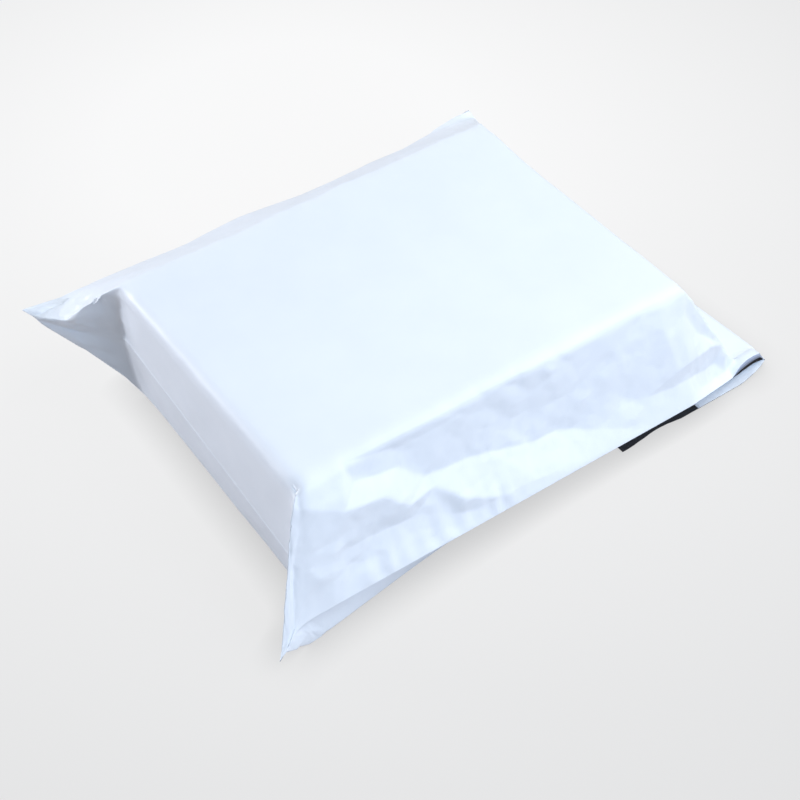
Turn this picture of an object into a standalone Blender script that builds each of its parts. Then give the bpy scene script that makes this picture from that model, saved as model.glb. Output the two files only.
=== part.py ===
"""Courier bag of white film, packed with one box-shaped content, closed, and resting on its under side.

Real sizes in metres, +Z up, +X from the bag's bottom fold towards its mouth, +Y from the front
side weld to the back one. The origin is the middle of the pack's flat under side.

The bag is one envelope, so it is one solid. Its top sheet and its under sheet share one grid of
film coordinates: u runs along the film from the bottom fold to the mouth, v runs across it from
the front weld to the back weld. Each sheet is a net of named points, joined by straight runs of
film that turn over a radius where they cross an edge of the pack. The four corner panels break
along their diagonals, which makes the ears. Past the pack the two sheets lie together as the
mouth film, which curls under in a loop, runs back below the pack and ends in the glued flap.
"""

from collections import namedtuple

import bmesh
import bpy
import numpy as np

# Packed content
PACK_LENGTH = 0.294
PACK_WIDTH = 0.210
PACK_HEIGHT = 0.105

# Film
SEAM_THICKNESS = 0.0010        # two sheets pressed together
WELD_WIDTH = 0.007
EDGE_RADIUS = 0.004            # film over the pack's right end and back edge
WALL_EDGE_RADIUS = 0.008       # slacker film over the left end
FRONT_EDGE_RADIUS = 0.007      # looser film over the front edge
SLACK_RADIUS = 0.025           # slow bends of film that nothing holds
UNDER_CLEARANCE = 0.0004       # between the flap and the under side it is pressed to

# Bottom fold, on the pack's left wall
FOLD_FRONT_HEIGHT = 0.038
FOLD_BACK_HEIGHT = 0.057
FOLD_STANDOFF = 0.0015
WALL_TUCK = 0.005              # the film is drawn in below the pack's left end

# Ear at the front end of the bottom fold: out past the pack's end, out past its side, up
FRONT_EAR_OUT = 0.037
FRONT_EAR_SIDE = 0.036
FRONT_EAR_HEIGHT = 0.010
FRONT_EAR_SPREAD = 0.0045      # its lower ridge lies this much further out on the floor
FRONT_EAR_DROP = 0.0030        # and this much lower

# Ear at the back end of the bottom fold
BACK_EAR_OUT = 0.047
BACK_EAR_SIDE = 0.063
BACK_EAR_HEIGHT = 0.060

# Moves of the back ear's film, in metres, at shares of the way from its tip to the pack
BACK_EAR_TUCK = ((0.0, 0.0), (0.2, 0.002), (0.5, 0.006), (0.84, 0.009), (1.0, 0.0))
BACK_EAR_DROOP = ((0.0, 0.0), (0.17, 0.0055), (0.5, 0.0045), (0.85, 0.001), (1.0, 0.0))
BACK_EAR_TOP_SAG = ((0.0, 0.0), (0.2, 0.008), (0.42, 0.015), (0.5, 0.012),
                    (0.6, 0.007), (0.8, 0.003), (1.0, 0.0))
BACK_EAR_UNDER_SAG = ((0.0, 0.0), (0.17, 0.0045), (0.5, 0.001), (1.0, 0.0))
TUCK_WAY = (0.398, 0.569, -0.719)

RIDGE_SOFTNESS = 0.8           # how far the ears' ridges are rounded, as a share of the panel
CORNER_BLEND = 0.05            # the corner panels run into their neighbours over this share

# Side welds: out past the pack's side, and up
FRONT_WELD_STANDOFF = 0.028
FRONT_WELD_HEIGHT = 0.021
FRONT_WELD_LEAD = 0.017        # the front weld runs this far past the pack's left end before the ear
FRONT_WELD_LEAD_SHARE = 0.125  # share of the pack's length over which that lead is made up
BACK_WELD_STANDOFF = 0.063
BACK_WELD_HEIGHT = 0.062
BACK_WELD_WAVE = 0.003
BACK_WELD_WAVE_SHIFT = 0.1     # share of the pack's length
BACK_WELD_DIP_WAY = (0.0, 0.8, 1.0)

# How far the back weld hangs down, in metres, at shares of the pack's length
BACK_WELD_DIPS = ((-0.19, 0.0), (-0.10, 0.0025), (0.0, 0.0034), (0.08, 0.003), (0.20, 0.0015), (0.30, 0.0),
                  (0.50, 0.003), (0.62, 0.0075), (0.80, 0.0065), (0.95, 0.003), (1.1, 0.001), (1.4, 0.0))

# Under sheet's roll onto the floor in front of the pack
TOE_STANDOFF = 0.0255
TOE_END_STANDOFF = 0.0195      # where the film leaves the floor
TOE_RUN = 0.092                # from the pack's left end to there
TOE_SHARE = 0.45               # share of the front slope's film that rolls down to the toe
SIDE_EASE = 0.004              # film past the pack's front edge, where it runs straight up

# Mouth: where the sheets meet past the pack's right end, and the loop of mouth film
MOUTH_FRONT_STANDOFF = 0.0566
MOUTH_MIDDLE_STANDOFF = 0.046
MOUTH_BACK_STANDOFF = 0.031
MOUTH_FRONT_HEIGHT = 0.012
MOUTH_MIDDLE_HEIGHT = 0.026
MOUTH_BACK_HEIGHT = 0.067
MOUTH_NEAR_RISE = 0.004        # the mouth line rises this much from its front end to the pack's side
MOUTH_BEND_INSET = 0.015       # it bends up to the back weld this far inside the pack's back side
LOOP_FRONT_REACH = 0.028
LOOP_MIDDLE_REACH = 0.020
LOOP_BACK_REACH = 0.003
LOOP_FRONT_LEAN = 0.004        # the loop's front end also reaches this far inwards
LOOP_BACK_DROP = 0.012
MOUTH_SIDE_STANDOFF = 0.0135   # front end of the line where the sheets meet, past the pack's side
FLAP_SIDE_STANDOFF = 0.0195    # front edge of the film folded under, past the pack's side
MOUTH_FOLD_DEPTH = 0.0685       # from the loop's crown to the under sheet's own edge
FLAP_LENGTH = 0.069            # top sheet alone, past that edge
STEP_RUN = 0.016               # the under side rises onto the flap over this run

# Creases pressed into the front slope
CREASE_EASE = 0.35             # share of a crease's length over which it fades at each end
GATHER_PITCH = 0.014
GATHER_HEIGHT = 0.0011
GATHER_REACH = 0.028
GATHER_START = 0.030           # the gathers grow over this run, and fade over the next one
GATHER_FADE = 0.050
GATHER_SPAN = 0.6              # share of the pack's length that has gathers

Crease = namedtuple("Crease", "along_from up_from along_to up_to height above below")

# Shares of the pack's length and of the slope's height, then metres; a valley has a negative height
FRONT_CREASES = (
    Crease(0.10, 0.74, 0.27, 0.66, -0.0036, 0.024, 0.012),
    Crease(-0.04, 0.84, 0.24, 0.50, 0.0045, 0.016, 0.022),
    Crease(0.22, 0.56, 0.58, 0.36, -0.0064, 0.045, 0.022),
    Crease(0.48, 0.32, 1.14, 0.17, -0.0076, 0.056, 0.022),
    Crease(0.10, 0.32, 0.44, 0.02, -0.0026, 0.014, 0.016),
    Crease(0.92, 1.04, 0.975, 0.28, 0.0026, 0.050, 0.022),
)

TINY = 1e-9

# Grid: cells along each run of film and across each panel. The panels that meet at the corners
# have the same cells, so that each ear's ridge runs along their diagonals.
CORNER_CELLS = 10
TOE_CELLS = 12
MIDDLE_CELLS = 15
RISE_CELLS = 2
FLAP_CELLS = 8
LOOP_CELLS = 8
RUN_CELLS = 3
TOP_CELLS = 6

HALF_LENGTH = PACK_LENGTH / 2
HALF_WIDTH = PACK_WIDTH / 2
HALF_SEAM = SEAM_THICKNESS / 2
UNDER_LIFT = SEAM_THICKNESS + UNDER_CLEARANCE
CROWN_X = HALF_LENGTH + MOUTH_FRONT_STANDOFF + LOOP_FRONT_REACH
DOUBLE_END_X = CROWN_X - MOUTH_FOLD_DEPTH
FLAP_END_X = DOUBLE_END_X - FLAP_LENGTH

SHARP_ANGLE = 35.0             # degrees, for shading
FILM_WHITE = (0.86, 0.90, 0.94, 1.0)
FILM_ROUGHNESS = 0.38


def point(x, y, z):
    """One named point of a net."""
    return np.array((x, y, z), dtype=float)


def soft_ramp(x, radius):
    """Zero, then a parabola over two radii, then a straight slope of one."""
    if radius <= 0.0:
        return np.maximum(x, 0.0)
    eased = (x + radius) ** 2 / (4.0 * radius)
    return np.where(x <= -radius, 0.0, np.where(x >= radius, x, eased))


def folded_path(places, knots, values, radii):
    """Straight runs between the values, turning over a radius at each inner knot."""
    spread = (len(places),) + (1,) * np.ndim(values[0])
    slopes = [(after - before) / (end - start)
              for before, after, start, end in zip(values, values[1:], knots, knots[1:])]
    path = values[0] + slopes[0] * (places - knots[0]).reshape(spread)
    for knot, radius, before, after in zip(knots[1:-1], radii[1:-1], slopes, slopes[1:]):
        path = path + (after - before) * soft_ramp(places - knot, radius).reshape(spread)
    return path


def grid_places(knots, cells, bend_starts, bend_ends):
    """Grid lines: even cells between the knots, and one more line beside a knot that is a bend."""
    places = [knots[0]]
    for start, end, count, lead, tail in zip(knots, knots[1:], cells, bend_starts, bend_ends):
        places.extend(np.linspace(start + lead, end - tail, count + 1)[0 if lead > 0.0 else 1:])
        if tail > 0.0:
            places.append(end)
    return np.array(places)


def weld_inside(edge, target):
    """The weld's inner line: one weld width in from the film's edge, towards the pack."""
    way = target - edge
    return edge + way * (WELD_WIDTH / np.linalg.norm(way))


def unit(vector):
    """The same direction, with a length of one."""
    return vector / np.linalg.norm(vector)


def station_xs():
    """Places along the pack where the under sheet changes: ends, toe, and the step onto the flap."""
    step_end = FLAP_END_X - EDGE_RADIUS
    return (-HALF_LENGTH, TOE_RUN - HALF_LENGTH, step_end - STEP_RUN, step_end, HALF_LENGTH)


def front_weld_edge(x):
    """Edge of the front side weld at x."""
    share = (x + HALF_LENGTH) / PACK_LENGTH
    lead = FRONT_WELD_LEAD * max(0.0, 1.0 - share / FRONT_WELD_LEAD_SHARE)
    return point(x - lead, -HALF_WIDTH - FRONT_WELD_STANDOFF, FRONT_WELD_HEIGHT)


def back_weld_edge(x):
    """Edge of the back side weld at x: it waves a little, because nothing holds it."""
    share = (x + HALF_LENGTH) / PACK_LENGTH
    wave = BACK_WELD_WAVE * np.sin(2.0 * np.pi * (share - BACK_WELD_WAVE_SHIFT))
    return point(x, HALF_WIDTH + BACK_WELD_STANDOFF - wave, BACK_WELD_HEIGHT - wave)


def bottom_fold():
    """Bottom fold from the front ear's tip, across the pack's left wall, to the back ear's tip."""
    front_tip = point(-HALF_LENGTH - FRONT_EAR_OUT, -HALF_WIDTH - FRONT_EAR_SIDE, FRONT_EAR_HEIGHT)
    back_tip = point(-HALF_LENGTH - BACK_EAR_OUT, HALF_WIDTH + BACK_EAR_SIDE, BACK_EAR_HEIGHT)
    front = point(-HALF_LENGTH - FOLD_STANDOFF, -HALF_WIDTH, FOLD_FRONT_HEIGHT)
    back = point(-HALF_LENGTH - FOLD_STANDOFF, HALF_WIDTH, FOLD_BACK_HEIGHT)
    return [front_tip, weld_inside(front_tip, front), front, back, weld_inside(back_tip, back), back_tip]


def mouth_line():
    """Where the two sheets meet past the pack's right end, from the front weld to the back one."""
    front = point(HALF_LENGTH + MOUTH_FRONT_STANDOFF, -HALF_WIDTH - MOUTH_SIDE_STANDOFF, MOUTH_FRONT_HEIGHT)
    near = point(HALF_LENGTH + MOUTH_FRONT_STANDOFF, -HALF_WIDTH, MOUTH_FRONT_HEIGHT + MOUTH_NEAR_RISE)
    far = point(HALF_LENGTH + MOUTH_MIDDLE_STANDOFF, HALF_WIDTH - MOUTH_BEND_INSET, MOUTH_MIDDLE_HEIGHT)
    back = point(HALF_LENGTH + MOUTH_BACK_STANDOFF, HALF_WIDTH + BACK_WELD_STANDOFF, MOUTH_BACK_HEIGHT)
    return [front, weld_inside(front, near), near, far, weld_inside(back, far), back]


def top_net():
    """Rows of the top sheet, from the bottom fold to the mouth line."""
    rows = [bottom_fold()]
    for x in station_xs():
        front = point(x, -HALF_WIDTH, PACK_HEIGHT)
        back = point(x, HALF_WIDTH, PACK_HEIGHT)
        front_edge = front_weld_edge(x)
        back_edge = back_weld_edge(x)
        rows.append([front_edge, weld_inside(front_edge, front), front,
                     back, weld_inside(back_edge, back), back_edge])
    rows.append(mouth_line())
    return np.array(rows)


def under_net(top):
    """Rows of the under sheet. It shares the fold, both welds and the mouth line with the top."""
    fold = top[0]
    rows = [[fold[0], fold[1], (fold[1] + fold[2]) / 2, fold[2], fold[3], fold[4], fold[5]]]
    toe_reach = (TOE_STANDOFF, TOE_END_STANDOFF, SIDE_EASE, SIDE_EASE, SIDE_EASE)
    lifts = (0.0, 0.0, 0.0, UNDER_LIFT, UNDER_LIFT)
    tucks = (WALL_TUCK, 0.0, 0.0, 0.0, 0.0)
    for x, reach, lift, tuck, shared in zip(station_xs(), toe_reach, lifts, tucks, top[1:-1]):
        z = HALF_SEAM + lift
        rows.append([shared[0], shared[1], point(x, -HALF_WIDTH - reach, z), point(x + tuck, -HALF_WIDTH, z),
                     point(x + tuck, HALF_WIDTH, z), shared[4], shared[5]])
    mouth = top[-1]
    rows.append([mouth[0], mouth[1], (mouth[1] + mouth[2]) / 2, mouth[2], mouth[3], mouth[4], mouth[5]])
    return np.array(rows)


def film_knots(top):
    """Film coordinates of the net's rows and columns, measured along the top sheet."""
    wall = PACK_HEIGHT - (FOLD_FRONT_HEIGHT + FOLD_BACK_HEIGHT) / 2
    end = np.linalg.norm(top[-1, 2] - top[-2, 2])
    xs = station_xs()
    along = np.cumsum([0.0, wall] + [after - before for before, after in zip(xs, xs[1:])] + [end])
    front = np.linalg.norm(top[2, 2] - top[2, 1])
    back = np.linalg.norm(top[2, 4] - top[2, 3])
    across = np.cumsum([0.0, WELD_WIDTH, front, PACK_WIDTH, back, WELD_WIDTH])
    return along, across


def film_sheet(net, along, across, u, v, along_radii, across_radii, corners):
    """The sheet's middle surface on the grid, its corner panels broken along their diagonals.

    A corner is given as (row of the ear's tip, row of the pack's corner, column of the tip,
    column of the pack's corner).
    """
    rows = folded_path(u, along, list(net), along_radii)
    columns = list(np.moveaxis(rows, 1, 0))
    sheet = np.moveaxis(folded_path(v, across, columns, across_radii), 0, 1)
    for tip_row, pack_row, tip_column, pack_column in corners:
        a = (u - along[tip_row]) / (along[pack_row] - along[tip_row])
        b = (v - across[tip_column]) / (across[pack_column] - across[tip_column])
        a = np.clip(1.0 - soft_ramp(1.0 - a, CORNER_BLEND), 0.0, 1.0)[:, None]
        b = np.clip(1.0 - soft_ramp(1.0 - b, CORNER_BLEND), 0.0, 1.0)[None, :]
        softness = RIDGE_SOFTNESS * a * b * (1.0 - a) * (1.0 - b)
        lesser = (a + b - np.sqrt((a - b) ** 2 + softness ** 2)) / 2
        twist = (net[tip_row, tip_column] + net[pack_row, pack_column]
                 - net[pack_row, tip_column] - net[tip_row, pack_column])
        sheet = sheet + (lesser - a * b)[..., None] * twist
    return sheet


def table_height(table, places):
    """Heights at the places, read between a table's (place, height) pairs."""
    knots, heights = zip(*table)
    return np.interp(places, knots, heights)


def back_weld_dip(u, v, along, across):
    """Moves of the film where the back weld hangs down: nothing at the pack, the most at the weld."""
    dips = table_height(BACK_WELD_DIPS, (u - along[1]) / PACK_LENGTH)
    share = np.clip((v - across[-3]) / (across[-1] - across[-3]), 0.0, 1.0)
    return -(dips[:, None] * share[None, :])[..., None] * point(*BACK_WELD_DIP_WAY)


def panel_shares(a, b):
    """Shares of a corner panel's way to its ridge: from the fold below it, and from the pack above."""
    below = np.clip(a / np.maximum(b, TINY), 0.0, 1.0)
    above = np.clip((1.0 - a) / np.maximum(1.0 - b, TINY), 0.0, 1.0)
    return below, above


def back_ear_moves(u, v, along, across, ridge_sag):
    """Moves of the back ear: the bottom fold is tucked in beside the pack, and the ridge sags."""
    a = np.clip(u / along[1], 0.0, 1.0)[:, None]
    b = np.clip((v[-1] - v) / (v[-1] - across[-3]), 0.0, 1.0)[None, :]
    tuck = table_height(BACK_EAR_TUCK, b)[..., None] * point(*TUCK_WAY)
    fold = tuck - table_height(BACK_EAR_DROOP, b)[..., None] * point(0.0, 0.0, 1.0)
    ridge = -table_height(ridge_sag, b)[..., None] * point(0.0, 0.0, 1.0)
    below, above = panel_shares(a, b)
    lower = fold * (1.0 - below[..., None]) + ridge * below[..., None]
    return np.where((a < b)[..., None], lower, ridge * above[..., None])


def front_ear_moves(u, v, along, across):
    """Moves of the front ear's under side, whose ridge lies out on the floor."""
    a = np.clip(u / along[1], 0.0, 1.0)[:, None]
    b = np.clip(v / across[3], 0.0, 1.0)[None, :]
    below, above = panel_shares(a, b)
    share = 4.0 * b * (1.0 - b) * np.where(a < b, below, above)
    return -share[..., None] * point(0.0, FRONT_EAR_SPREAD, FRONT_EAR_DROP)


def surface_normals(sheet):
    """Unit normals of a grid surface, pointing along the u direction crossed with the v one."""
    normals = np.cross(np.gradient(sheet, axis=0), np.gradient(sheet, axis=1))
    return normals / np.linalg.norm(normals, axis=2, keepdims=True)


def crease_height(crease, u, v, along, across):
    """A crease's rise: straight flanks fall away from its line, and it fades at both ends."""
    slope = across[2] - across[1]
    start = np.array((along[1] + crease.along_from * PACK_LENGTH, across[1] + crease.up_from * slope))
    end = np.array((along[1] + crease.along_to * PACK_LENGTH, across[1] + crease.up_to * slope))
    length = np.linalg.norm(end - start)
    way = (end - start) / length
    east = u[:, None] - start[0]
    north = v[None, :] - start[1]
    share = (east * way[0] + north * way[1]) / length
    side = north * way[0] - east * way[1]
    flank = 1.0 - np.where(side > 0.0, side / crease.above, -side / crease.below)
    fade = np.minimum(share, 1.0 - share) / CREASE_EASE
    return crease.height * np.clip(flank, 0.0, 1.0) * np.clip(fade, 0.0, 1.0)


def front_relief(u, v, along, across):
    """Creases of the front slope, and the gathers that the weld draws up beside it."""
    relief = sum(crease_height(crease, u, v, along, across) for crease in FRONT_CREASES)
    wave = 1.0 - 4.0 * np.abs((u - along[1]) / GATHER_PITCH % 1.0 - 0.5)
    start = np.clip((u - along[1]) / GATHER_START, 0.0, 1.0)
    run = start * np.clip((along[1] + GATHER_SPAN * PACK_LENGTH - u) / GATHER_FADE, 0.0, 1.0)
    near = np.clip(1.0 - (v - across[1]) / GATHER_REACH, 0.0, 1.0) * np.clip(v / across[1], 0.0, 1.0)
    return relief + GATHER_HEIGHT * (wave * run)[:, None] * near[None, :]


def pressed_row(under_sheet, x, v, across):
    """One row of film at x, pressed up against the under side, and flat on the floor in front."""
    backing = under_sheet + surface_normals(under_sheet) * UNDER_LIFT
    row = np.empty((len(v), 3))
    for column in range(len(v)):
        line = backing[:, column]
        order = np.argsort(line[:, 0])
        row[column] = [np.interp(x, line[order, 0], line[order, axis]) for axis in range(3)]
    front = v < across[2]
    row[front, 1] = -HALF_WIDTH - FLAP_SIDE_STANDOFF * (1.0 - v[front] / across[2])
    row[front, 2] = HALF_SEAM
    return row


def mouth_film(under_sheet, v, across):
    """Middle surface of the mouth film: its loop, the double film under the pack, then the flap.

    The loop is half an ellipse between the mouth line and the row below it, reaching outwards.
    """
    mouth = under_sheet[-1]
    raised = mouth + unit(point(0.0, BACK_WELD_HEIGHT, -BACK_WELD_STANDOFF)) * LOOP_BACK_DROP
    floor = mouth * (1.0, 1.0, 0.0) + point(0.0, 0.0, HALF_SEAM)
    front_share = np.clip(1.0 - v / across[2], 0.0, 1.0)
    floor[:, 1] += (MOUTH_SIDE_STANDOFF - FLAP_SIDE_STANDOFF) * front_share
    back_share = np.clip((v - across[3]) / (across[4] - across[3]), 0.0, 1.0)[:, None]
    low = floor * (1.0 - back_share) + raised * back_share

    front_reach = point(LOOP_FRONT_REACH, LOOP_FRONT_LEAN, 0.0)
    back_reach = unit(point(1.0, 1.0, 0.0)) * LOOP_BACK_REACH
    reaches = [front_reach, front_reach, point(LOOP_FRONT_REACH, 0.0, 0.0),
               point(LOOP_MIDDLE_REACH, 0.0, 0.0), back_reach, back_reach]
    radii = (0.0, WELD_WIDTH / 4, SLACK_RADIUS, SLACK_RADIUS, WELD_WIDTH / 4, 0.0)
    reach = folded_path(v, across, reaches, radii)
    turn = np.linspace(0.0, np.pi, LOOP_CELLS + 1)[1:, None, None]
    rows = list(mouth * (1.0 + np.cos(turn)) / 2 + low * (1.0 - np.cos(turn)) / 2 + reach * np.sin(turn))

    landing = pressed_row(under_sheet, HALF_LENGTH, v, across)
    share = ((low[:, 0] - DOUBLE_END_X) / (low[:, 0] - landing[:, 0]))[:, None]
    rows.append(low + (landing - low) * share / 2)
    rows.append(low + (landing - low) * share)
    rows.append(landing)
    for x in np.linspace(HALF_LENGTH, FLAP_END_X, RUN_CELLS + 1)[1:]:
        rows.append(pressed_row(under_sheet, x, v, across))
    return np.array(rows)


def film_grids():
    """Outer faces of the top side and of the under side, on one grid from fold to flap end."""
    top = top_net()
    under = under_net(top)
    along, across = film_knots(top)
    along_radii = (0.0, EDGE_RADIUS, SLACK_RADIUS, EDGE_RADIUS / 2, EDGE_RADIUS / 2, EDGE_RADIUS, 0.0)
    top_radii = (0.0, WALL_EDGE_RADIUS) + along_radii[2:]
    across_radii = (0.0, WELD_WIDTH / 4, FRONT_EDGE_RADIUS, EDGE_RADIUS, WELD_WIDTH / 4, 0.0)
    cells_along = (CORNER_CELLS, TOE_CELLS, MIDDLE_CELLS, RISE_CELLS, FLAP_CELLS, CORNER_CELLS)
    u = grid_places(along, cells_along, (0.0, WALL_EDGE_RADIUS, 0.0, 0.0, 0.0, 0.0),
                    (0.0, 0.0, 0.0, 0.0, EDGE_RADIUS, 0.0))
    cells_across = (1, CORNER_CELLS, TOP_CELLS, CORNER_CELLS, 1)
    v = grid_places(across, cells_across, (0.0, 0.0, FRONT_EDGE_RADIUS, 0.0, 0.0),
                    (0.0, 0.0, EDGE_RADIUS, 0.0, 0.0))
    top_corners = ((0, 1, 1, 2), (0, 1, 4, 3), (6, 5, 1, 2), (6, 5, 4, 3))
    top_sheet = film_sheet(top, along, across, u, v, top_radii, across_radii, top_corners)
    dip = back_weld_dip(u, v, along, across)
    top_sheet += dip + back_ear_moves(u, v, along, across, BACK_EAR_TOP_SAG)
    top_sheet += surface_normals(top_sheet) * front_relief(u, v, along, across)[..., None]

    toe = across[1] + (across[2] - across[1]) * TOE_SHARE
    under_across = np.insert(across, 2, toe)
    under_radii = (0.0, WELD_WIDTH / 4, EDGE_RADIUS, EDGE_RADIUS, EDGE_RADIUS, WELD_WIDTH / 4, 0.0)
    under_corners = ((0, 1, 1, 3), (0, 1, 5, 4), (6, 5, 5, 4))
    under_sheet = film_sheet(under, along, under_across, u, v, along_radii, under_radii, under_corners)
    under_sheet += dip + back_ear_moves(u, v, along, under_across, BACK_EAR_UNDER_SAG)
    under_sheet += front_ear_moves(u, v, along, under_across)

    mouth = mouth_film(under_sheet, v, across)
    top_side = np.concatenate((top_sheet, mouth))
    under_side = np.concatenate((under_sheet, mouth))
    top_side = top_side + surface_normals(top_side) * HALF_SEAM
    under_side = under_side - surface_normals(under_side) * HALF_SEAM
    under_side[..., 2] = np.maximum(under_side[..., 2], 0.0)
    top_side[..., 2] = np.maximum(top_side[..., 2], 0.0)
    top_side[0] = (top_side[0] + under_side[0]) / 2
    return top_side, under_side


def add_cell(mesh, corners, rising):
    """Two triangles for one cell, split along its rising diagonal or its falling one."""
    near, along, far, across = corners
    if rising:
        mesh.faces.new((near, along, far))
        mesh.faces.new((near, far, across))
    else:
        mesh.faces.new((near, along, across))
        mesh.faces.new((along, far, across))


def close_envelope(top_side, under_side):
    """One closed mesh: both sides share the bottom fold, and a rim closes the welds and flap end.

    Every cell is split along the diagonal that points from the nearest ear's tip to the pack.
    """
    mesh = bmesh.new()
    top = [[mesh.verts.new(place) for place in row] for row in top_side]
    under = [top[0]] + [[mesh.verts.new(place) for place in row] for row in under_side[1:]]
    last_row = len(top) - 1
    last_column = len(top[0]) - 1
    middle_row = CORNER_CELLS + TOE_CELLS
    for row in range(last_row):
        for column in range(last_column):
            rising = (row < middle_row) == (column < last_column / 2)
            cells = [(side[row][column], side[row + 1][column], side[row + 1][column + 1], side[row][column + 1])
                     for side in (top, under)]
            for cell in cells:
                add_cell(mesh, cell, rising)
    for row in range(last_row):
        for column, outward in ((0, True), (last_column, False)):
            rim = [top[row][column], under[row][column], under[row + 1][column], top[row + 1][column]]
            corners = list(dict.fromkeys(rim))
            mesh.faces.new(corners if outward else corners[::-1])
    for column in range(last_column):
        mesh.faces.new((top[last_row][column], under[last_row][column],
                        under[last_row][column + 1], top[last_row][column + 1]))
    bmesh.ops.recalc_face_normals(mesh, faces=mesh.faces)
    return mesh


def film_material():
    """White film, slightly blue, with a soft gloss."""
    material = bpy.data.materials.new("white_film")
    material.use_nodes = True
    shader = material.node_tree.nodes["Principled BSDF"]
    shader.inputs["Base Color"].default_value = FILM_WHITE
    shader.inputs["Roughness"].default_value = FILM_ROUGHNESS
    shader.inputs["Metallic"].default_value = 0.0
    return material


def build_mailer_bag():
    """The bag as one object."""
    top_side, under_side = film_grids()
    envelope = close_envelope(top_side, under_side)
    data = bpy.data.meshes.new("mailer_bag")
    envelope.to_mesh(data)
    envelope.free()
    data.materials.append(film_material())
    data.shade_smooth()
    data.set_sharp_from_angle(angle=np.radians(SHARP_ANGLE))
    bag = bpy.data.objects.new("mailer_bag", data)
    bpy.context.scene.collection.objects.link(bag)
    return bag


def main():
    """Clear the scene and build the bag."""
    for old in list(bpy.data.objects):
        bpy.data.objects.remove(old, do_unlink=True)
    build_mailer_bag()


main()
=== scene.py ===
"""Looks of a packed courier bag: white film over a boxy content, its mouth folded under and glued.

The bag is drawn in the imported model's frame: metres, +Z up, +X from the bottom fold to the mouth,
+Y from the front side weld to the back one. Every surface is worked out with numpy on a grid of
film coordinates, u along the film from the bottom fold and v across it from the front weld.
"""

from __future__ import annotations

import logging
import math
from dataclasses import dataclass, field
from enum import Enum
from typing import Sequence

import bpy
import numpy as np
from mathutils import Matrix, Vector
from mathutils.geometry import delaunay_2d_cdt


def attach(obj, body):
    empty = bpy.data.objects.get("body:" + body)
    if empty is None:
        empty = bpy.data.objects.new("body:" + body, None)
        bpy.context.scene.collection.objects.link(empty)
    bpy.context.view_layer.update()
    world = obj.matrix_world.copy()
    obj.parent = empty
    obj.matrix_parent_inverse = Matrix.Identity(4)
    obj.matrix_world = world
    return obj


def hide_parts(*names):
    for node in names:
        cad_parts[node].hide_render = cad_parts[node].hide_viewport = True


logging.basicConfig(level=logging.INFO, format="%(message)s")
LOG = logging.getLogger("mailer_bag")

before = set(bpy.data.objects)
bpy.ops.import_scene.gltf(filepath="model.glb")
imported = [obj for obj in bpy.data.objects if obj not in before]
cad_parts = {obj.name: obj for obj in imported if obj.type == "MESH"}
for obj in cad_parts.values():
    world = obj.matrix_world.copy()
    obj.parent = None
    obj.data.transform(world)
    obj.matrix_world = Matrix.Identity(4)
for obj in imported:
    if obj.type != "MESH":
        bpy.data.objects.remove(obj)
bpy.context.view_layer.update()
Array = np.ndarray
Triple = tuple[float, float, float]
Colour = tuple[float, float, float, float]
TINY_LENGTH = 1e-12
TINY_SHARE = 1e-9
SAME_POINT = 1e-6


class Side(Enum):
    """The two outer faces of the bag."""

    TOP = "top"
    UNDER = "under"


class FacePart(Enum):
    """Parts of a film's closed grid."""

    OTHER = 0
    TOP = 1
    # The front rim and the mouth's pocket, given painted shade in black on the film bag.
    FRONT_RIM = 2
    # The turned-in lip, given painted shade in grey-blue.
    LIP = 3


def spot(x: float, y: float, z: float) -> Array:
    """One named point."""
    return np.array((x, y, z), dtype=float)


def soft_ramp(x: Array, radius: float) -> Array:
    """Zero, then a parabola over two radii, then a straight slope of one.

    Args:
        x: Distance past the turn's middle.
        radius: Half of the turn's length.

    Returns:
        The ramp at each distance.
    """
    if radius <= 0.0:
        return np.maximum(x, 0.0)
    eased = (x + radius) ** 2 / (4.0 * radius)
    return np.where(x <= -radius, 0.0, np.where(x >= radius, x, eased))


def smooth_step(x: Array) -> Array:
    """Zero below 0, one above 1, and 3x^2 - 2x^3 between them."""
    x = np.clip(x, 0.0, 1.0)
    return x * x * (3.0 - 2.0 * x)


def folded_path(places: Array, knots: Array, values: Sequence[Array],
                radii: Sequence[float]) -> Array:
    """Straight runs between the values, turning over a radius at each inner knot.

    Args:
        places: Where the path is wanted.
        knots: Where each value lies.
        values: The path's value at each knot, of any one shape.
        radii: The radius of the turn at each knot; the first and last are not used.

    Returns:
        The path's value at each place.
    """
    spread = (len(places),) + (1,) * np.ndim(values[0])
    slopes = [(after - before) / (end - start)
              for before, after, start, end in zip(values, values[1:], knots, knots[1:])]
    path = values[0] + slopes[0] * (places - knots[0]).reshape(spread)
    for knot, radius, before, after in zip(knots[1:-1], radii[1:-1], slopes, slopes[1:]):
        path = path + (after - before) * soft_ramp(places - knot, radius).reshape(spread)
    return path


def spread_cells(knots: Array, cells: Sequence[int]) -> Array:
    """Grid lines: each knot, and even cells between one knot and the next.

    Args:
        knots: Places that have a grid line.
        cells: How many cells lie between each knot and the next.

    Returns:
        The place of each grid line.
    """
    runs = [np.linspace(start, end, count, endpoint=False)
            for start, end, count in zip(knots, knots[1:], cells)]
    return np.concatenate(runs + [knots[-1:]])


def surface_normals(sheet: Array) -> Array:
    """Unit normals of a grid surface: its u direction crossed with its v direction."""
    normals = np.cross(np.gradient(sheet, axis=0), np.gradient(sheet, axis=1))
    return normals / np.maximum(np.linalg.norm(normals, axis=2, keepdims=True), TINY_LENGTH)


@dataclass(frozen=True)
class Profile:
    """A value that changes along a line: straight runs between places, held past both ends."""

    places: tuple[float, ...]
    values: tuple[float, ...]

    def at(self, place: Array | float, start: float = 0.0) -> Array:
        """The value at each place, with the profile's places counted from start."""
        return np.interp(place, start + np.array(self.places), self.values)


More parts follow.
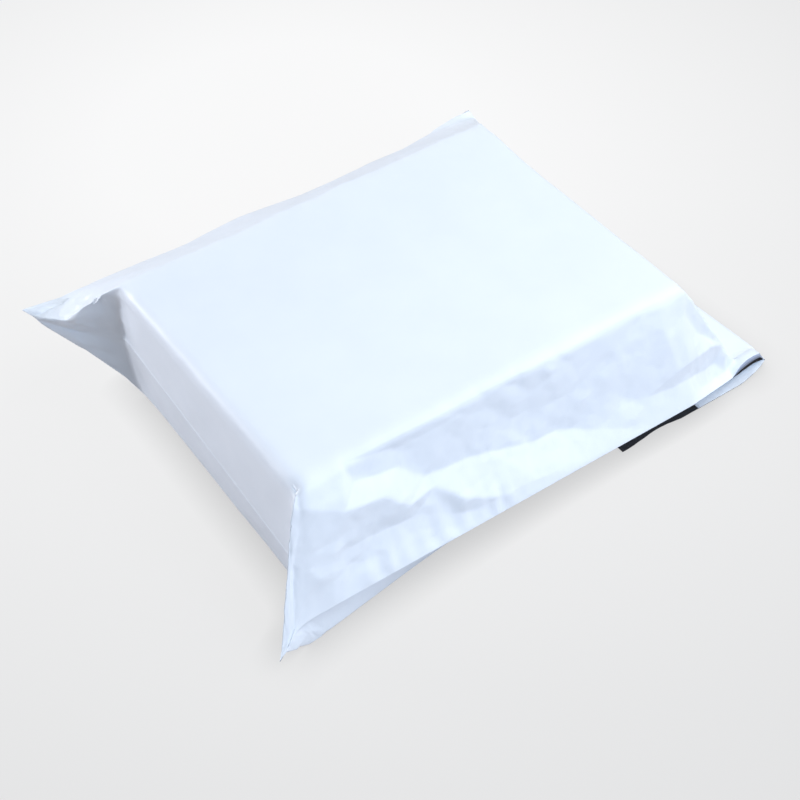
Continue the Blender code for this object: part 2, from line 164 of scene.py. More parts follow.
@dataclass(frozen=True)
class FacetLayer:
    """Crumple of flat facets that meet in sharp creases.

    Two lumpy bowls are made of flat plates, each plate touching the bowl at a random point. The
    height is the difference of the two, so the bowls cancel and only the plates' edges are left.
    The cell is the usual distance from one facet's middle to the next.
    """

    cell: float
    height: float
    seed: int
    spare_plates: int = 4

    def relief(self, along: Array, across: Array) -> Array:
        """Relief of the facets.

        Args:
            along: First coordinate of each grid point.
            across: Second coordinate of each grid point.

        Returns:
            The relief at each grid point.
        """
        low = np.array((along.min(), across.min())) - self.cell
        size = np.array((np.ptp(along), np.ptp(across))) + 2.0 * self.cell
        count = int(np.prod(size) / self.cell ** 2) + self.spare_plates
        chance = np.random.default_rng(self.seed)
        bowls = []
        for _ in range(2):
            touch = low + chance.random((count, 2)) * size
            plates = np.full(along.shape, -np.inf)
            for centre in touch:
                lift = 2.0 * (along * centre[0] + across * centre[1]) - centre @ centre
                np.maximum(plates, lift / self.cell ** 2, out=plates)
            bowls.append(plates)
        return self.height * (bowls[0] - bowls[1])


@dataclass(frozen=True)
class Crease:
    """A straight crease in film coordinates: a ridge, or a valley where its height is negative.

    Its place is given as shares: along the pack's length, and across the panel it lies on. Above
    and below are the widths of its two flanks, and ease is the share of its length at each end
    over which it fades.
    """

    along_from: float
    across_from: float
    along_to: float
    across_to: float
    height: float
    above: float
    below: float
    ease: float = 0.35

    def relief(self, along: Array, across: Array, scale: tuple[float, float]) -> Array:
        """Rise of the crease: straight flanks fall away from its line, and it fades at both ends.

        Args:
            along: Share along the pack at each grid point.
            across: Share across the panel at each grid point.
            scale: Metres for a whole share along and across.

        Returns:
            The rise at each grid point, in metres.
        """
        start = np.array((self.along_from * scale[0], self.across_from * scale[1]))
        end = np.array((self.along_to * scale[0], self.across_to * scale[1]))
        length = float(np.linalg.norm(end - start))
        way = (end - start) / length
        east = along * scale[0] - start[0]
        north = across * scale[1] - start[1]
        share = (east * way[0] + north * way[1]) / length
        side = north * way[0] - east * way[1]
        distance = np.where(side > 0.0, side / self.above, -side / self.below)
        fade = np.minimum(share, 1.0 - share) / self.ease
        return self.height * np.clip(1.0 - distance, 0.0, 1.0) * np.clip(fade, 0.0, 1.0)


@dataclass
class BagSizes:
    """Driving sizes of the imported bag, in metres.

    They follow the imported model's sizes. The film is thinner here, its turns are rounder, and a
    few standoffs differ by some millimetres, where the film hangs loose.
    """

    pack_length: float = 0.294
    pack_width: float = 0.210
    pack_height: float = 0.105
    seam_thickness: float = 0.0005
    weld_width: float = 0.007
    edge_radius: float = 0.0035
    wall_edge_radius: float = 0.013
    front_edge_radius: float = 0.0075
    slack_radius: float = 0.025
    under_lift: float = 0.0014
    fold_front_height: float = 0.038
    fold_back_height: float = 0.057
    fold_standoff: float = 0.0015
    wall_tuck: float = 0.005
    front_ear: Triple = (0.037, 0.036, 0.010)
    back_ear: Triple = (0.047, 0.063, 0.060)
    front_weld_standoff: float = 0.028
    front_weld_height: float = 0.021
    front_weld_lead: float = 0.017
    front_weld_lead_share: float = 0.125
    back_weld_standoff: float = 0.063
    back_weld_height: float = 0.062
    back_weld_wave: float = 0.003
    back_weld_wave_start: float = 0.1
    toe_standoffs: tuple[float, ...] = (0.029, 0.0165, 0.004, 0.004, 0.004)
    toe_run: float = 0.086
    toe_share: float = 0.45
    step_run: float = 0.016
    step_gap: float = 0.004
    mouth_standoffs: Triple = (0.0566, 0.046, 0.037)
    mouth_heights: Triple = (0.008, 0.026, 0.067)
    mouth_near_rise: float = 0.004
    mouth_far_inset: float = 0.015
    loop_reaches: Triple = (0.028, 0.020, 0.003)
    loop_side_reach: float = 0.004
    loop_back_slant: float = 0.7
    loop_back_drop: float = 0.012
    mouth_side_standoff: float = 0.016
    flap_side_standoff: float = 0.0195
    mouth_fold_depth: float = 0.0685
    flap_length: float = 0.069

    @property
    def half_length(self) -> float:
        """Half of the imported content's length."""
        return self.pack_length / 2

    @property
    def half_width(self) -> float:
        """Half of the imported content's width."""
        return self.pack_width / 2

    @property
    def half_seam(self) -> float:
        """Half of the thickness of two films pressed together."""
        return self.seam_thickness / 2

    @property
    def weld_radius(self) -> float:
        """Radius of the turn beside a side weld."""
        return self.weld_width / 4

    @property
    def step_radius(self) -> float:
        """Radius of the under sheet's turns at the step onto the flap."""
        return self.edge_radius / 2

    @property
    def double_end_x(self) -> float:
        """Where the under sheet's own edge lies below the pack."""
        crown = self.half_length + self.mouth_standoffs[0] + self.loop_reaches[0]
        return crown - self.mouth_fold_depth

    @property
    def flap_end_x(self) -> float:
        """Where the glued flap ends below the pack."""
        return self.double_end_x - self.flap_length


@dataclass
class GridCells:
    """Cells of the visual surface along each run of film and across each panel."""

    corner_along: int = 40
    toe: int = 50
    middle: int = 62
    step: int = 8
    over_flap: int = 30
    loop: int = 34
    run_to_edge: int = 8
    under_flap: int = 40
    weld: int = 2
    slope: int = 76
    top: int = 36
    back: int = 40

    def along(self) -> tuple[int, ...]:
        """Cells from the bottom fold to the mouth line."""
        return (self.corner_along, self.toe, self.middle, self.step, self.over_flap,
                self.corner_along)

    def across(self) -> tuple[int, ...]:
        """Cells from the front weld's edge to the back weld's."""
        return (self.weld, self.slope, self.top, self.back, self.weld)


@dataclass(frozen=True)
class FilmMoves:
    """How far the film departs from its straight runs, in metres.

    The back weld's dip and the bulge are given along the pack, in shares of its length. The ears'
    moves are given in shares from an ear's tip to the pack, and the flap's waist in metres from
    the flap's end. Each way is multiplied by its profile.
    """

    weld_dip: Profile = Profile(
        (-0.19, -0.08, 0.0, 0.054, 0.152, 0.272, 0.318, 0.368, 0.42,
         0.476, 0.594, 0.681, 0.765, 0.909, 0.966, 1.04, 1.24, 1.37),
        (0.0, 0.0036, 0.0042, 0.0033, 0.0017, 0.0003, -0.0008, -0.0012, -0.0012,
         0.0001, 0.003, 0.0038, 0.0041, 0.0032, 0.0014, -0.0006, -0.0024, -0.002))
    weld_dip_way: Triple = (0.0, 0.8, 1.0)
    bulge: Profile = Profile((0.3, 0.45, 0.6, 0.7, 0.8, 0.95, 1.05, 1.37),
                             (0.0, 0.0010, 0.0038, 0.0032, 0.0040, 0.0046, 0.0044, 0.0))
    bulge_way: Triple = (0.2, 0.8, 0.5)
    bulge_reach: float = 0.055
    back_ear_tuck: Profile = Profile((0.0, 0.2, 0.5, 0.8, 0.94, 1.0),
                                     (0.0, 0.003, 0.009, 0.014, 0.0150, 0.0))
    back_ear_tuck_way: Triple = (0.398, 0.569, -0.719)
    back_ear_droop: Profile = Profile((0.0, 0.17, 0.5, 0.85, 1.0),
                                      (0.0, 0.0055, 0.0045, 0.001, 0.0))
    top_ridge_sag: Profile = Profile((0.0, 0.2, 0.42, 0.5, 0.6, 0.8, 1.0),
                                     (0.0, 0.008, 0.015, 0.012, 0.007, 0.003, 0.0))
    under_ridge_sag: Profile = Profile((0.0, 0.17, 0.5, 0.85, 1.0),
                                       (0.0, 0.0025, -0.0025, -0.0030, 0.0))
    front_ear_reach: Profile = Profile((0.0, 0.1, 0.25, 0.5, 0.75, 1.0),
                                       (0.0, 0.8, 1.4, 1.2, 0.6, 0.0))
    front_ear_way: Triple = (0.0, -0.0045, -0.003)
    fold_fin_height: float = 0.0004
    fold_fin_start: float = 0.8
    fold_fin_ease: float = 0.2
    fold_fin_fade: float = 0.5
    flap_waist: Profile = Profile((0.0, 0.010, 0.026, 0.042, 0.056, 0.069),
                                  (-0.0008, -0.0008, 0.0013, 0.0015, -0.0012, -0.0006))
    flap_ripple_height: float = 0.0007
    flap_ripple_rate: float = 310.0


@dataclass
class BagShape:
    """Middle surfaces of the two film sheets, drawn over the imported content."""

    sizes: BagSizes = field(default_factory=BagSizes)
    cells: GridCells = field(default_factory=GridCells)
    moves: FilmMoves = field(default_factory=FilmMoves)
    ridge_softness: float = 0.5
    corner_blend: float = 0.05
    fold_lines: tuple[float, float] = (0.0003, 0.0007)
    rim_line: float = 0.0003

    def __post_init__(self) -> None:
        """Works out the nets, the film coordinates and the grid once."""
        self.top_points = self.top_net()
        self.under_points = self.under_net()
        self.along, self.across = self.film_knots()
        rows = spread_cells(self.along, self.cells.along())
        self.u = np.unique(np.concatenate((rows, self.fold_lines)))
        columns = spread_cells(self.across, self.cells.across())
        rims = (self.across[0] + self.rim_line, self.across[-1] - self.rim_line)
        self.v = np.unique(np.concatenate((columns, rims)))

    def pack_share(self) -> Array:
        """Share of the pack's length at each place of u."""
        return (self.u - self.along[1]) / self.sizes.pack_length

    def weld_inside(self, edge: Array, target: Array) -> Array:
        """The weld's inner line: one weld width in from the film's edge, towards the pack."""
        way = target - edge
        return edge + way * (self.sizes.weld_width / np.linalg.norm(way))

    def station_xs(self) -> tuple[float, ...]:
        """Where the under sheet changes along the pack: its ends, the toe, the step to the flap."""
        s = self.sizes
        step_end = s.flap_end_x - s.step_gap
        return (-s.half_length, s.toe_run - s.half_length, step_end - s.step_run, step_end,
                s.half_length)

    def front_weld_edge(self, x: float) -> Array:
        """Edge of the front side weld, which leads towards the bottom fold at the pack's end.

        Args:
            x: Place along the pack.

        Returns:
            The edge's point.
        """
        s = self.sizes
        share = (x + s.half_length) / s.pack_length
        lead = s.front_weld_lead * max(0.0, 1.0 - share / s.front_weld_lead_share)
        return spot(x - lead, -s.half_width - s.front_weld_standoff, s.front_weld_height)

    def back_weld_edge(self, x: float) -> Array:
        """Edge of the back side weld, which waves a little.

        Args:
            x: Place along the pack.

        Returns:
            The edge's point.
        """
        s = self.sizes
        share = (x + s.half_length) / s.pack_length
        wave = s.back_weld_wave * math.sin(2.0 * math.pi * (share - s.back_weld_wave_start))
        return spot(x, s.half_width + s.back_weld_standoff - wave, s.back_weld_height - wave)

    def bottom_fold(self) -> list[Array]:
        """Bottom fold from the front ear's tip, across the pack's end, to the back ear's tip."""
        s = self.sizes
        front_out, front_side, front_height = s.front_ear
        back_out, back_side, back_height = s.back_ear
        front_tip = spot(-s.half_length - front_out, -s.half_width - front_side, front_height)
        back_tip = spot(-s.half_length - back_out, s.half_width + back_side, back_height)
        front = spot(-s.half_length - s.fold_standoff, -s.half_width, s.fold_front_height)
        back = spot(-s.half_length - s.fold_standoff, s.half_width, s.fold_back_height)
        return [front_tip, self.weld_inside(front_tip, front), front,
                back, self.weld_inside(back_tip, back), back_tip]

    def mouth_line(self) -> list[Array]:
        """Where the two sheets meet past the pack, from the front weld to the back one."""
        s = self.sizes
        front_x, far_x, back_x = (s.half_length + standoff for standoff in s.mouth_standoffs)
        front_z, far_z, back_z = s.mouth_heights
        front = spot(front_x, -s.half_width - s.mouth_side_standoff, front_z)
        near = spot(front_x, -s.half_width, front_z + s.mouth_near_rise)
        far = spot(far_x, s.half_width - s.mouth_far_inset, far_z)
        back = spot(back_x, s.half_width + s.back_weld_standoff, back_z)
        return [front, self.weld_inside(front, near), near, far, self.weld_inside(back, far), back]

    def top_net(self) -> Array:
        """Rows of the top sheet's net, from the bottom fold to the mouth line."""
        s = self.sizes
        rows = [self.bottom_fold()]
        for x in self.station_xs():
            front = spot(x, -s.half_width, s.pack_height)
            back = spot(x, s.half_width, s.pack_height)
            front_edge = self.front_weld_edge(x)
            back_edge = self.back_weld_edge(x)
            rows.append([front_edge, self.weld_inside(front_edge, front), front,
                         back, self.weld_inside(back_edge, back), back_edge])
        rows.append(self.mouth_line())
        return np.array(rows)

    def under_net(self) -> Array:
        """Rows of the under sheet's net. It shares the fold, the welds and the mouth line."""
        s = self.sizes
        top = self.top_points
        rows = [self.with_toe(top[0])]
        tucks = (s.wall_tuck, 0.0, 0.0, 0.0, 0.0)
        lifts = (0.0, 0.0, 0.0, s.under_lift, s.under_lift)
        stations = zip(self.station_xs(), s.toe_standoffs, lifts, tucks, top[1:-1])
        for x, reach, lift, tuck, shared in stations:
            z = s.half_seam + lift
            rows.append([shared[0], shared[1], spot(x, -s.half_width - reach, z),
                         spot(x + tuck, -s.half_width, z), spot(x + tuck, s.half_width, z),
                         shared[4], shared[5]])
        rows.append(self.with_toe(top[-1]))
        return np.array(rows)

    @staticmethod
    def with_toe(row: Array) -> list[Array]:
        """A shared row with one more point, where the other rows have the toe."""
        return [row[0], row[1], (row[1] + row[2]) / 2, row[2], row[3], row[4], row[5]]

    def film_knots(self) -> tuple[Array, Array]:
        """Film coordinates of the net's rows and columns, measured along the top sheet."""
        s = self.sizes
        top = self.top_points
        wall = s.pack_height - (s.fold_front_height + s.fold_back_height) / 2
        end = float(np.linalg.norm(top[-1, 2] - top[-2, 2]))
        xs = self.station_xs()
        runs = [after - before for before, after in zip(xs, xs[1:])]
        along = np.cumsum([0.0, wall] + runs + [end])
        front = float(np.linalg.norm(top[2, 2] - top[2, 1]))
        back = float(np.linalg.norm(top[2, 4] - top[2, 3]))
        across = np.cumsum([0.0, s.weld_width, front, s.pack_width, back, s.weld_width])
        return along, across

    def sheet(self, side: Side) -> Array:
        """One sheet's middle surface on the grid.

        The net is folded along u, then along v. Each corner panel is then broken along its
        diagonal: the bilinear patch's a*b gives way to the lesser of a and b, softened.

        Args:
            side: Which sheet.

        Returns:
            Points of shape (len(u), len(v), 3).
        """
        s = self.sizes
        if side is Side.TOP:
            net, across = self.top_points, self.across
            radii = (0.0, s.weld_radius, s.front_edge_radius, s.edge_radius, s.weld_radius, 0.0)
            corners = ((0, 1, 1, 2), (0, 1, 4, 3), (6, 5, 1, 2), (6, 5, 4, 3))
            wall_radius, pack_edge = s.wall_edge_radius, across[3]
        else:
            net = self.under_points
            toe = self.across[1] + (self.across[2] - self.across[1]) * s.toe_share
            across = np.insert(self.across, 2, toe)
            radii = (0.0, s.weld_radius) + (s.edge_radius,) * 3 + (s.weld_radius, 0.0)
            corners = ((0, 1, 1, 3), (0, 1, 5, 4), (6, 5, 5, 4))
            wall_radius, pack_edge = s.edge_radius, across[4]
        along_radii = (0.0, wall_radius, s.slack_radius, s.step_radius, s.step_radius,
                       s.edge_radius, 0.0)
        rows = folded_path(self.u, self.along, list(net), along_radii)
        surface = folded_path(self.v, across, list(np.moveaxis(rows, 1, 0)), radii)
        surface = np.moveaxis(surface, 0, 1)
        for tip_row, pack_row, tip_column, pack_column in corners:
            a = (self.u - self.along[tip_row]) / (self.along[pack_row] - self.along[tip_row])
            b = (self.v - across[tip_column]) / (across[pack_column] - across[tip_column])
            a = np.clip(1.0 - soft_ramp(1.0 - a, self.corner_blend), 0.0, 1.0)[:, None]
            b = np.clip(1.0 - soft_ramp(1.0 - b, self.corner_blend), 0.0, 1.0)[None, :]
            softness = self.ridge_softness * a * b * (1.0 - a) * (1.0 - b)
            lesser = (a + b - np.sqrt((a - b) ** 2 + softness ** 2)) / 2
            twist = (net[tip_row, tip_column] + net[pack_row, pack_column]
                     - net[pack_row, tip_column] - net[tip_row, pack_column])
            surface = surface + (lesser - a * b)[..., None] * twist
        share = np.clip((self.v - self.across[3]) / (self.across[5] - self.across[3]), 0.0, 1.0)
        dip = self.moves.weld_dip.at(self.pack_share())[:, None] * share[None, :]
        surface = surface - dip[..., None] * spot(*self.moves.weld_dip_way)
        surface = surface + self.fold_fin()
        if side is Side.TOP:
            surface = surface + self.back_bulge() + self.back_ear_fold(pack_edge, side)
        else:
            surface = surface + self.back_ear_fold(pack_edge, side) + self.front_ear_lay(across[3])
        return surface

    def fold_fin(self) -> Array:
        """The bottom fold stands a little proud of the wall, as a creased film does.

        Its height falls straight to nothing at the second fold line, and it fades out over the
        ears.

        Returns:
            Moves of shape (len(u), len(v), 3).
        """
        moves, slope = self.moves, self.across[2]
        front_fade = moves.fold_fin_ease * slope
        back_fade = moves.fold_fin_fade * (self.across[4] - self.across[3])
        inner = np.clip((self.v - moves.fold_fin_start * slope) / front_fade, 0.0, 1.0)
        inner *= np.clip((self.across[4] - self.v) / back_fade, 0.0, 1.0)
        height = moves.fold_fin_height * np.clip(1.0 - self.u / self.fold_lines[1], 0.0, 1.0)
        return (height[:, None] * inner[None, :])[..., None] * spot(-1.0, 0.0, 0.0)

    def back_bulge(self) -> Array:
        """The slack film stands off the pack along the far half of its top back edge.

        Returns:
            Moves of shape (len(u), len(v), 3).
        """
        along = self.moves.bulge.at(self.pack_share())
        edge = self.across[3]
        over_top = smooth_step(1.0 - (edge - self.v) / self.moves.bulge_reach)
        down_back = 1.0 - (self.v - edge) / (self.across[4] - edge)
        across = np.where(self.v < edge, over_top, down_back)
        height = along[:, None] * np.clip(across, 0.0, 1.0)[None, :]
        return height[..., None] * spot(*self.moves.bulge_way)

    def ear_shares(self, b: Array) -> tuple[Array, Array, Array]:
        """Where each grid point lies on an ear, whose ridge runs where a equals b.

        The share a goes from the bottom fold to the pack, and b from the ear's tip to the pack.

        Args:
            b: The share b, as one row.

        Returns:
            Whether the point lies between the fold and the ridge, its way from the fold to the
            ridge, and its way from the pack's wall line to the ridge.
        """
        a = np.clip(self.u / self.along[1], 0.0, 1.0)[:, None]
        below = np.clip(a / np.maximum(b, TINY_SHARE), 0.0, 1.0)
        above = np.clip((1.0 - a) / np.maximum(1.0 - b, TINY_SHARE), 0.0, 1.0)
        return a < b, below, above

    def back_ear_fold(self, pack_edge: float, side: Side) -> Array:
        """Tucks the bottom fold in between the back ear's tip and the pack, and lets its ridge sag.

        Args:
            pack_edge: Film coordinate of the pack's edge that the ear's ridge runs to.
            side: Which sheet; both move alike along the fold itself.

        Returns:
            Moves of shape (len(u), len(v), 3).
        """
        moves, up = self.moves, spot(0.0, 0.0, 1.0)
        b = np.clip((self.v[-1] - self.v) / (self.v[-1] - pack_edge), 0.0, 1.0)[None, :]
        tuck, droop = moves.back_ear_tuck.at(b)[..., None], moves.back_ear_droop.at(b)[..., None]
        fold = tuck * spot(*moves.back_ear_tuck_way) - droop * up
        sag = moves.top_ridge_sag if side is Side.TOP else moves.under_ridge_sag
        ridge = -sag.at(b)[..., None] * up
        by_fold, below, above = (share[..., None] for share in self.ear_shares(b))
        return np.where(by_fold, fold * (1.0 - below) + ridge * below, ridge * above)

    def front_ear_lay(self, pack_edge: float) -> Array:
        """Lets the front ear's lower ridge lie out on the floor, in line with the toe beside it.

        Args:
            pack_edge: Film coordinate of the pack's edge on the under sheet.

        Returns:
            Moves of shape (len(u), len(v), 3).
        """
        b = np.clip(self.v / pack_edge, 0.0, 1.0)[None, :]
        by_fold, below, above = self.ear_shares(b)
        share = self.moves.front_ear_reach.at(b) * np.where(by_fold, below, above)
        return share[..., None] * spot(*self.moves.front_ear_way)

    def pressed_row(self, under: Array, x: float) -> Array:
        """One row of film below the pack, pressed up against the under side.

        In front of the pack it lies on the floor, with a waved edge and a slight ripple.

        Args:
            under: The under sheet's middle surface.
            x: Place of the row.

        Returns:
            Points of shape (len(v), 3).
        """
        s, moves = self.sizes, self.moves
        backing = under + surface_normals(under) * s.under_lift
        row = np.empty((len(self.v), 3))
        for column in range(len(self.v)):
            line = backing[:, column]
            order = np.argsort(line[:, 0])
            row[column] = [np.interp(x, line[order, 0], line[order, axis]) for axis in range(3)]
        front = self.v < self.across[2]
        out = 1.0 - self.v[front] / self.across[2]
        waist = moves.flap_waist.at(x, s.flap_end_x)
        wave = 1.0 + math.sin(x * moves.flap_ripple_rate)
        row[front, 1] = -s.half_width - (s.flap_side_standoff - waist) * out
        row[front, 2] = s.half_seam + moves.flap_ripple_height * out * wave / 2
        return row

    def mouth_film(self, under: Array) -> tuple[Array, Array]:
        """Middle surfaces of the double film that folds under, and of the flap past its edge.

        The loop is half an ellipse between the mouth line and the row below it, reaching out.

        Args:
            under: The under sheet's middle surface.

        Returns:
            Rows of the double film, and rows of the flap.
        """
        s = self.sizes
        mouth = under[-1]
        down = spot(0.0, s.back_weld_height, -s.back_weld_standoff)
        raised = mouth + down / np.linalg.norm(down) * s.loop_back_drop
        floor = mouth * (1.0, 1.0, 0.0) + spot(0.0, 0.0, s.half_seam)
        front_share = np.clip(1.0 - self.v / self.across[2], 0.0, 1.0)
        floor[:, 1] += (s.mouth_side_standoff - s.flap_side_standoff) * front_share
        back_share = (self.v - self.across[3]) / (self.across[4] - self.across[3])
        back_share = np.clip(back_share, 0.0, 1.0)[:, None]
        low = floor * (1.0 - back_share) + raised * back_share

        front, middle, back = s.loop_reaches
        front_out = spot(front, s.loop_side_reach, 0.0)
        back_out = spot(back * s.loop_back_slant, back * s.loop_back_slant, 0.0)
        reaches = [front_out, front_out, spot(front, 0.0, 0.0), spot(middle, 0.0, 0.0),
                   back_out, back_out]
        radii = (0.0, s.weld_radius, s.slack_radius, s.slack_radius, s.weld_radius, 0.0)
        reach = folded_path(self.v, self.across, reaches, radii)
        turn = np.linspace(0.0, np.pi, self.cells.loop + 1)[1:, None, None]
        loop = (mouth * (1.0 + np.cos(turn)) / 2 + low * (1.0 - np.cos(turn)) / 2
                + reach * np.sin(turn))

        landing = self.pressed_row(under, s.half_length)
        edge_share = ((low[:, 0] - s.double_end_x) / (low[:, 0] - landing[:, 0]))[:, None]
        run = [low + (landing - low) * edge_share * step / self.cells.run_to_edge
               for step in range(1, self.cells.run_to_edge + 1)]
        flap = [run[-1], (run[-1] + landing) / 2, landing]
        xs = np.linspace(s.half_length, s.flap_end_x, self.cells.under_flap + 1)[1:]
        flap += [self.pressed_row(under, float(x)) for x in xs]
        return np.concatenate((loop, np.array(run))), np.array(flap)


@dataclass(frozen=True)
class FacetNet:
    """Flat facets that meet in straight creases.

    Each point has its share along the pack, its share up the front slope and its rise in metres.
    The lines are runs of points that are joined by creases; the other creases follow by themselves.
    """

    points: dict[str, Triple]
    lines: tuple[str, ...]

    def relief(self, along: Array, across: Array, scale: tuple[float, float]) -> Array:
        """Rise of the facets on a grid, and nothing outside the net.

        Args:
            along: Share along the pack of each row.
            across: Share up the front slope of each column.
            scale: Metres for a whole share along and across.

        Returns:
            Rises of shape (len(along), len(across)).
        """
        names = list(self.points)
        rises = np.array([rise for _, _, rise in self.points.values()])
        places = [Vector((east * scale[0], north * scale[1]))
                  for east, north, _ in self.points.values()]
        edges = []
        for line in self.lines:
            run = [names.index(name) for name in line.split()]
            edges += list(zip(run, run[1:]))
        found = delaunay_2d_cdt(places, edges, [], 0, SAME_POINT)
        corners = np.array([vertex[:] for vertex in found[0]])
        heights = np.array([rises[source].mean() for source in found[3]])
        east, north = np.meshgrid(along * scale[0], across * scale[1], indexing="ij")
        rise = np.zeros(east.shape)
        for triangle in found[2]:
            (ax, ay), (bx, by), (cx, cy) = corners[triangle]
            area = (bx - ax) * (cy - ay) - (cx - ax) * (by - ay)
            share_b = ((east - ax) * (cy - ay) - (cx - ax) * (north - ay)) / area
            share_c = ((bx - ax) * (north - ay) - (east - ax) * (by - ay)) / area
            share_a = 1.0 - share_b - share_c
            inside = np.minimum(np.minimum(share_a, share_b), share_c) >= -TINY_SHARE
            level = heights[triangle]
            plate = share_a * level[0] + share_b * level[1] + share_c * level[2]
            rise = np.where(inside, plate, rise)
        return rise


# Points of the front slope: t and b rim the net, l closes it, and e runs along the pack's edge. The
# ridge s and k lies beside the long valley v, u and f are the panel above it, r and w the creases
# below it, and g and h the slope past the pack's mouth end.
FRONT_FACETS = FacetNet(
    points={
        "t0": (-0.06, 1.16, 0.0), "t1": (0.11, 1.16, 0.0), "t2": (0.32, 1.10, 0.0),
        "t3": (0.55, 1.10, 0.0), "t4": (0.76, 1.10, 0.0), "t5": (0.92, 1.10, 0.0),
        "t6": (1.02, 1.10, 0.0), "t7": (1.40, 1.10, 0.0), "b0": (-0.06, -0.08, 0.0),
        "b1": (0.07, -0.08, 0.0), "b2": (0.16, -0.08, 0.0), "b3": (0.26, -0.08, 0.0),
        "b4": (0.38, -0.08, 0.0), "b5": (0.45, -0.08, 0.0), "b6": (0.54, -0.08, 0.0),
        "b7": (0.70, -0.08, 0.0), "b8": (0.88, -0.08, 0.0), "b9": (1.02, -0.08, 0.0),
        "b10": (1.22, -0.08, 0.0), "b11": (1.40, -0.08, 0.0), "l1": (-0.06, 0.5, 0.0),
        "l2": (-0.03, 0.9, 0.0), "e0": (0.00, 1.00, -0.0008), "e1": (0.113, 1.01, -0.0008),
        "e2": (0.32, 0.99, -0.0006), "e3": (0.50, 1.01, -0.0002), "e4": (0.62, 0.97, -0.0008),
        "e5": (0.76, 0.99, -0.0004), "e6": (0.92, 1.02, 0.0), "e7": (1.0, 1.0, 0.0),
        "s0": (0.018, 0.82, 0.0022), "s1": (0.1, 0.66, 0.0042), "s2": (0.189, 0.6, 0.0034),
        "s3": (0.222, 0.47, 0.0026), "v1": (0.134, 0.80, -0.0012), "v2": (0.199, 0.745, -0.0024),
        "v3": (0.241, 0.71, -0.0036), "k3": (0.243, 0.40, 0.0010), "v4": (0.296, 0.52, -0.0056),
        "v5": (0.42, 0.45, -0.0082), "v6": (0.452, 0.42, -0.0078), "v7": (0.50, 0.24, -0.0040),
        "v8": (0.545, 0.03, -0.0006), "w1": (0.307, 0.41, -0.0028), "w2": (0.378, 0.18, 0.0004),
        "w3": (0.455, 0.05, 0.0002), "r0": (0.07, 0.33, 0.0022), "r1": (0.159, 0.30, -0.0020),
        "r2": (0.256, 0.26, -0.0030), "r3": (0.335, 0.11, -0.0024), "r4": (0.385, 0.05, -0.0016),
        "k1": (0.054, 0.5, 0.0024), "v9": (0.565, 0.30, -0.0084), "v10": (0.639, 0.28, -0.0086),
        "v11": (0.731, 0.14, -0.0050), "v12": (0.798, 0.24, -0.0042),
        "v13": (0.878, 0.195, -0.0022), "v14": (0.95, 0.165, -0.0016),
        "v15": (1.067, 0.145, -0.0022), "v16": (1.173, 0.05, -0.0018), "u1": (0.262, 0.86, -0.0036),
        "u2": (0.393, 0.90, -0.0024), "u3": (0.678, 0.56, -0.0058), "u4": (0.52, 0.60, -0.0074),
        "u5": (0.47, 0.80, -0.0046), "f1": (0.931, 0.73, 0.0008), "f2": (0.965, 0.31, 0.001),
        "g1": (1.267, 0.3, 0.0018), "g3": (1.025, 0.72, -0.0014), "g4": (1.106, 0.51, -0.0012),
        "g5": (1.294, 0.0, 0.0004), "u6": (0.8, 0.75, -0.0028), "h1": (1.062, 0.335, 0.0014),
        "h2": (1.181, 0.345, 0.0022), "h3": (1.225, 0.13, -0.0024),
    },
    lines=(
        "t0 t1 t2 t3 t4 t5 t6 t7", "b0 b1 b2 b3 b4 b5 b6 b7 b8 b9 b10 b11", "t0 l2 l1 b0",
        "e0 e1 e2 e3 e4 e5 e6 e7", "e0 s0 s1 s2 s3 k3",
        "e1 v1 v2 v3 v4 v5 v6 v9 v10 v11 v12 v13 v14 v15 v16 b10", "e1 u1 v3", "k3 w1 w2 w3 b6",
        "v4 w1", "v6 v7 v8", "r0 r1 r2 r3 r4 b5", "s1 k1 r0", "e6 f1 f2 v14", "f2 h1 h2 g1",
        "g3 g4", "v15 h3 g5", "u1 u2 u5 u4 v6", "u4 u3 v10", "u3 u6 f1", "g1 g5", "e7 g1", "f2 v13",
    ),
)
FINE_CREASES = (
    Crease(0.44, 1.06, 0.47, 0.90, -0.0007, 0.005, 0.006),
    Crease(0.50, 0.97, 0.575, 0.81, -0.0010, 0.006, 0.007),
    Crease(0.54, 1.03, 0.56, 0.88, -0.0007, 0.004, 0.006),
    Crease(0.61, 0.93, 0.635, 0.83, 0.0008, 0.004, 0.006),
    Crease(0.64, 1.00, 0.68, 0.82, -0.0007, 0.005, 0.007),
    Crease(0.74, 0.40, 0.84, 0.90, 0.0008, 0.012, 0.014),
    Crease(0.455, 0.50, 0.445, 0.36, -0.0010, 0.003, 0.003),
    Crease(-0.014, 1.04, 0.012, 0.96, -0.0018, 0.004, 0.004),
)


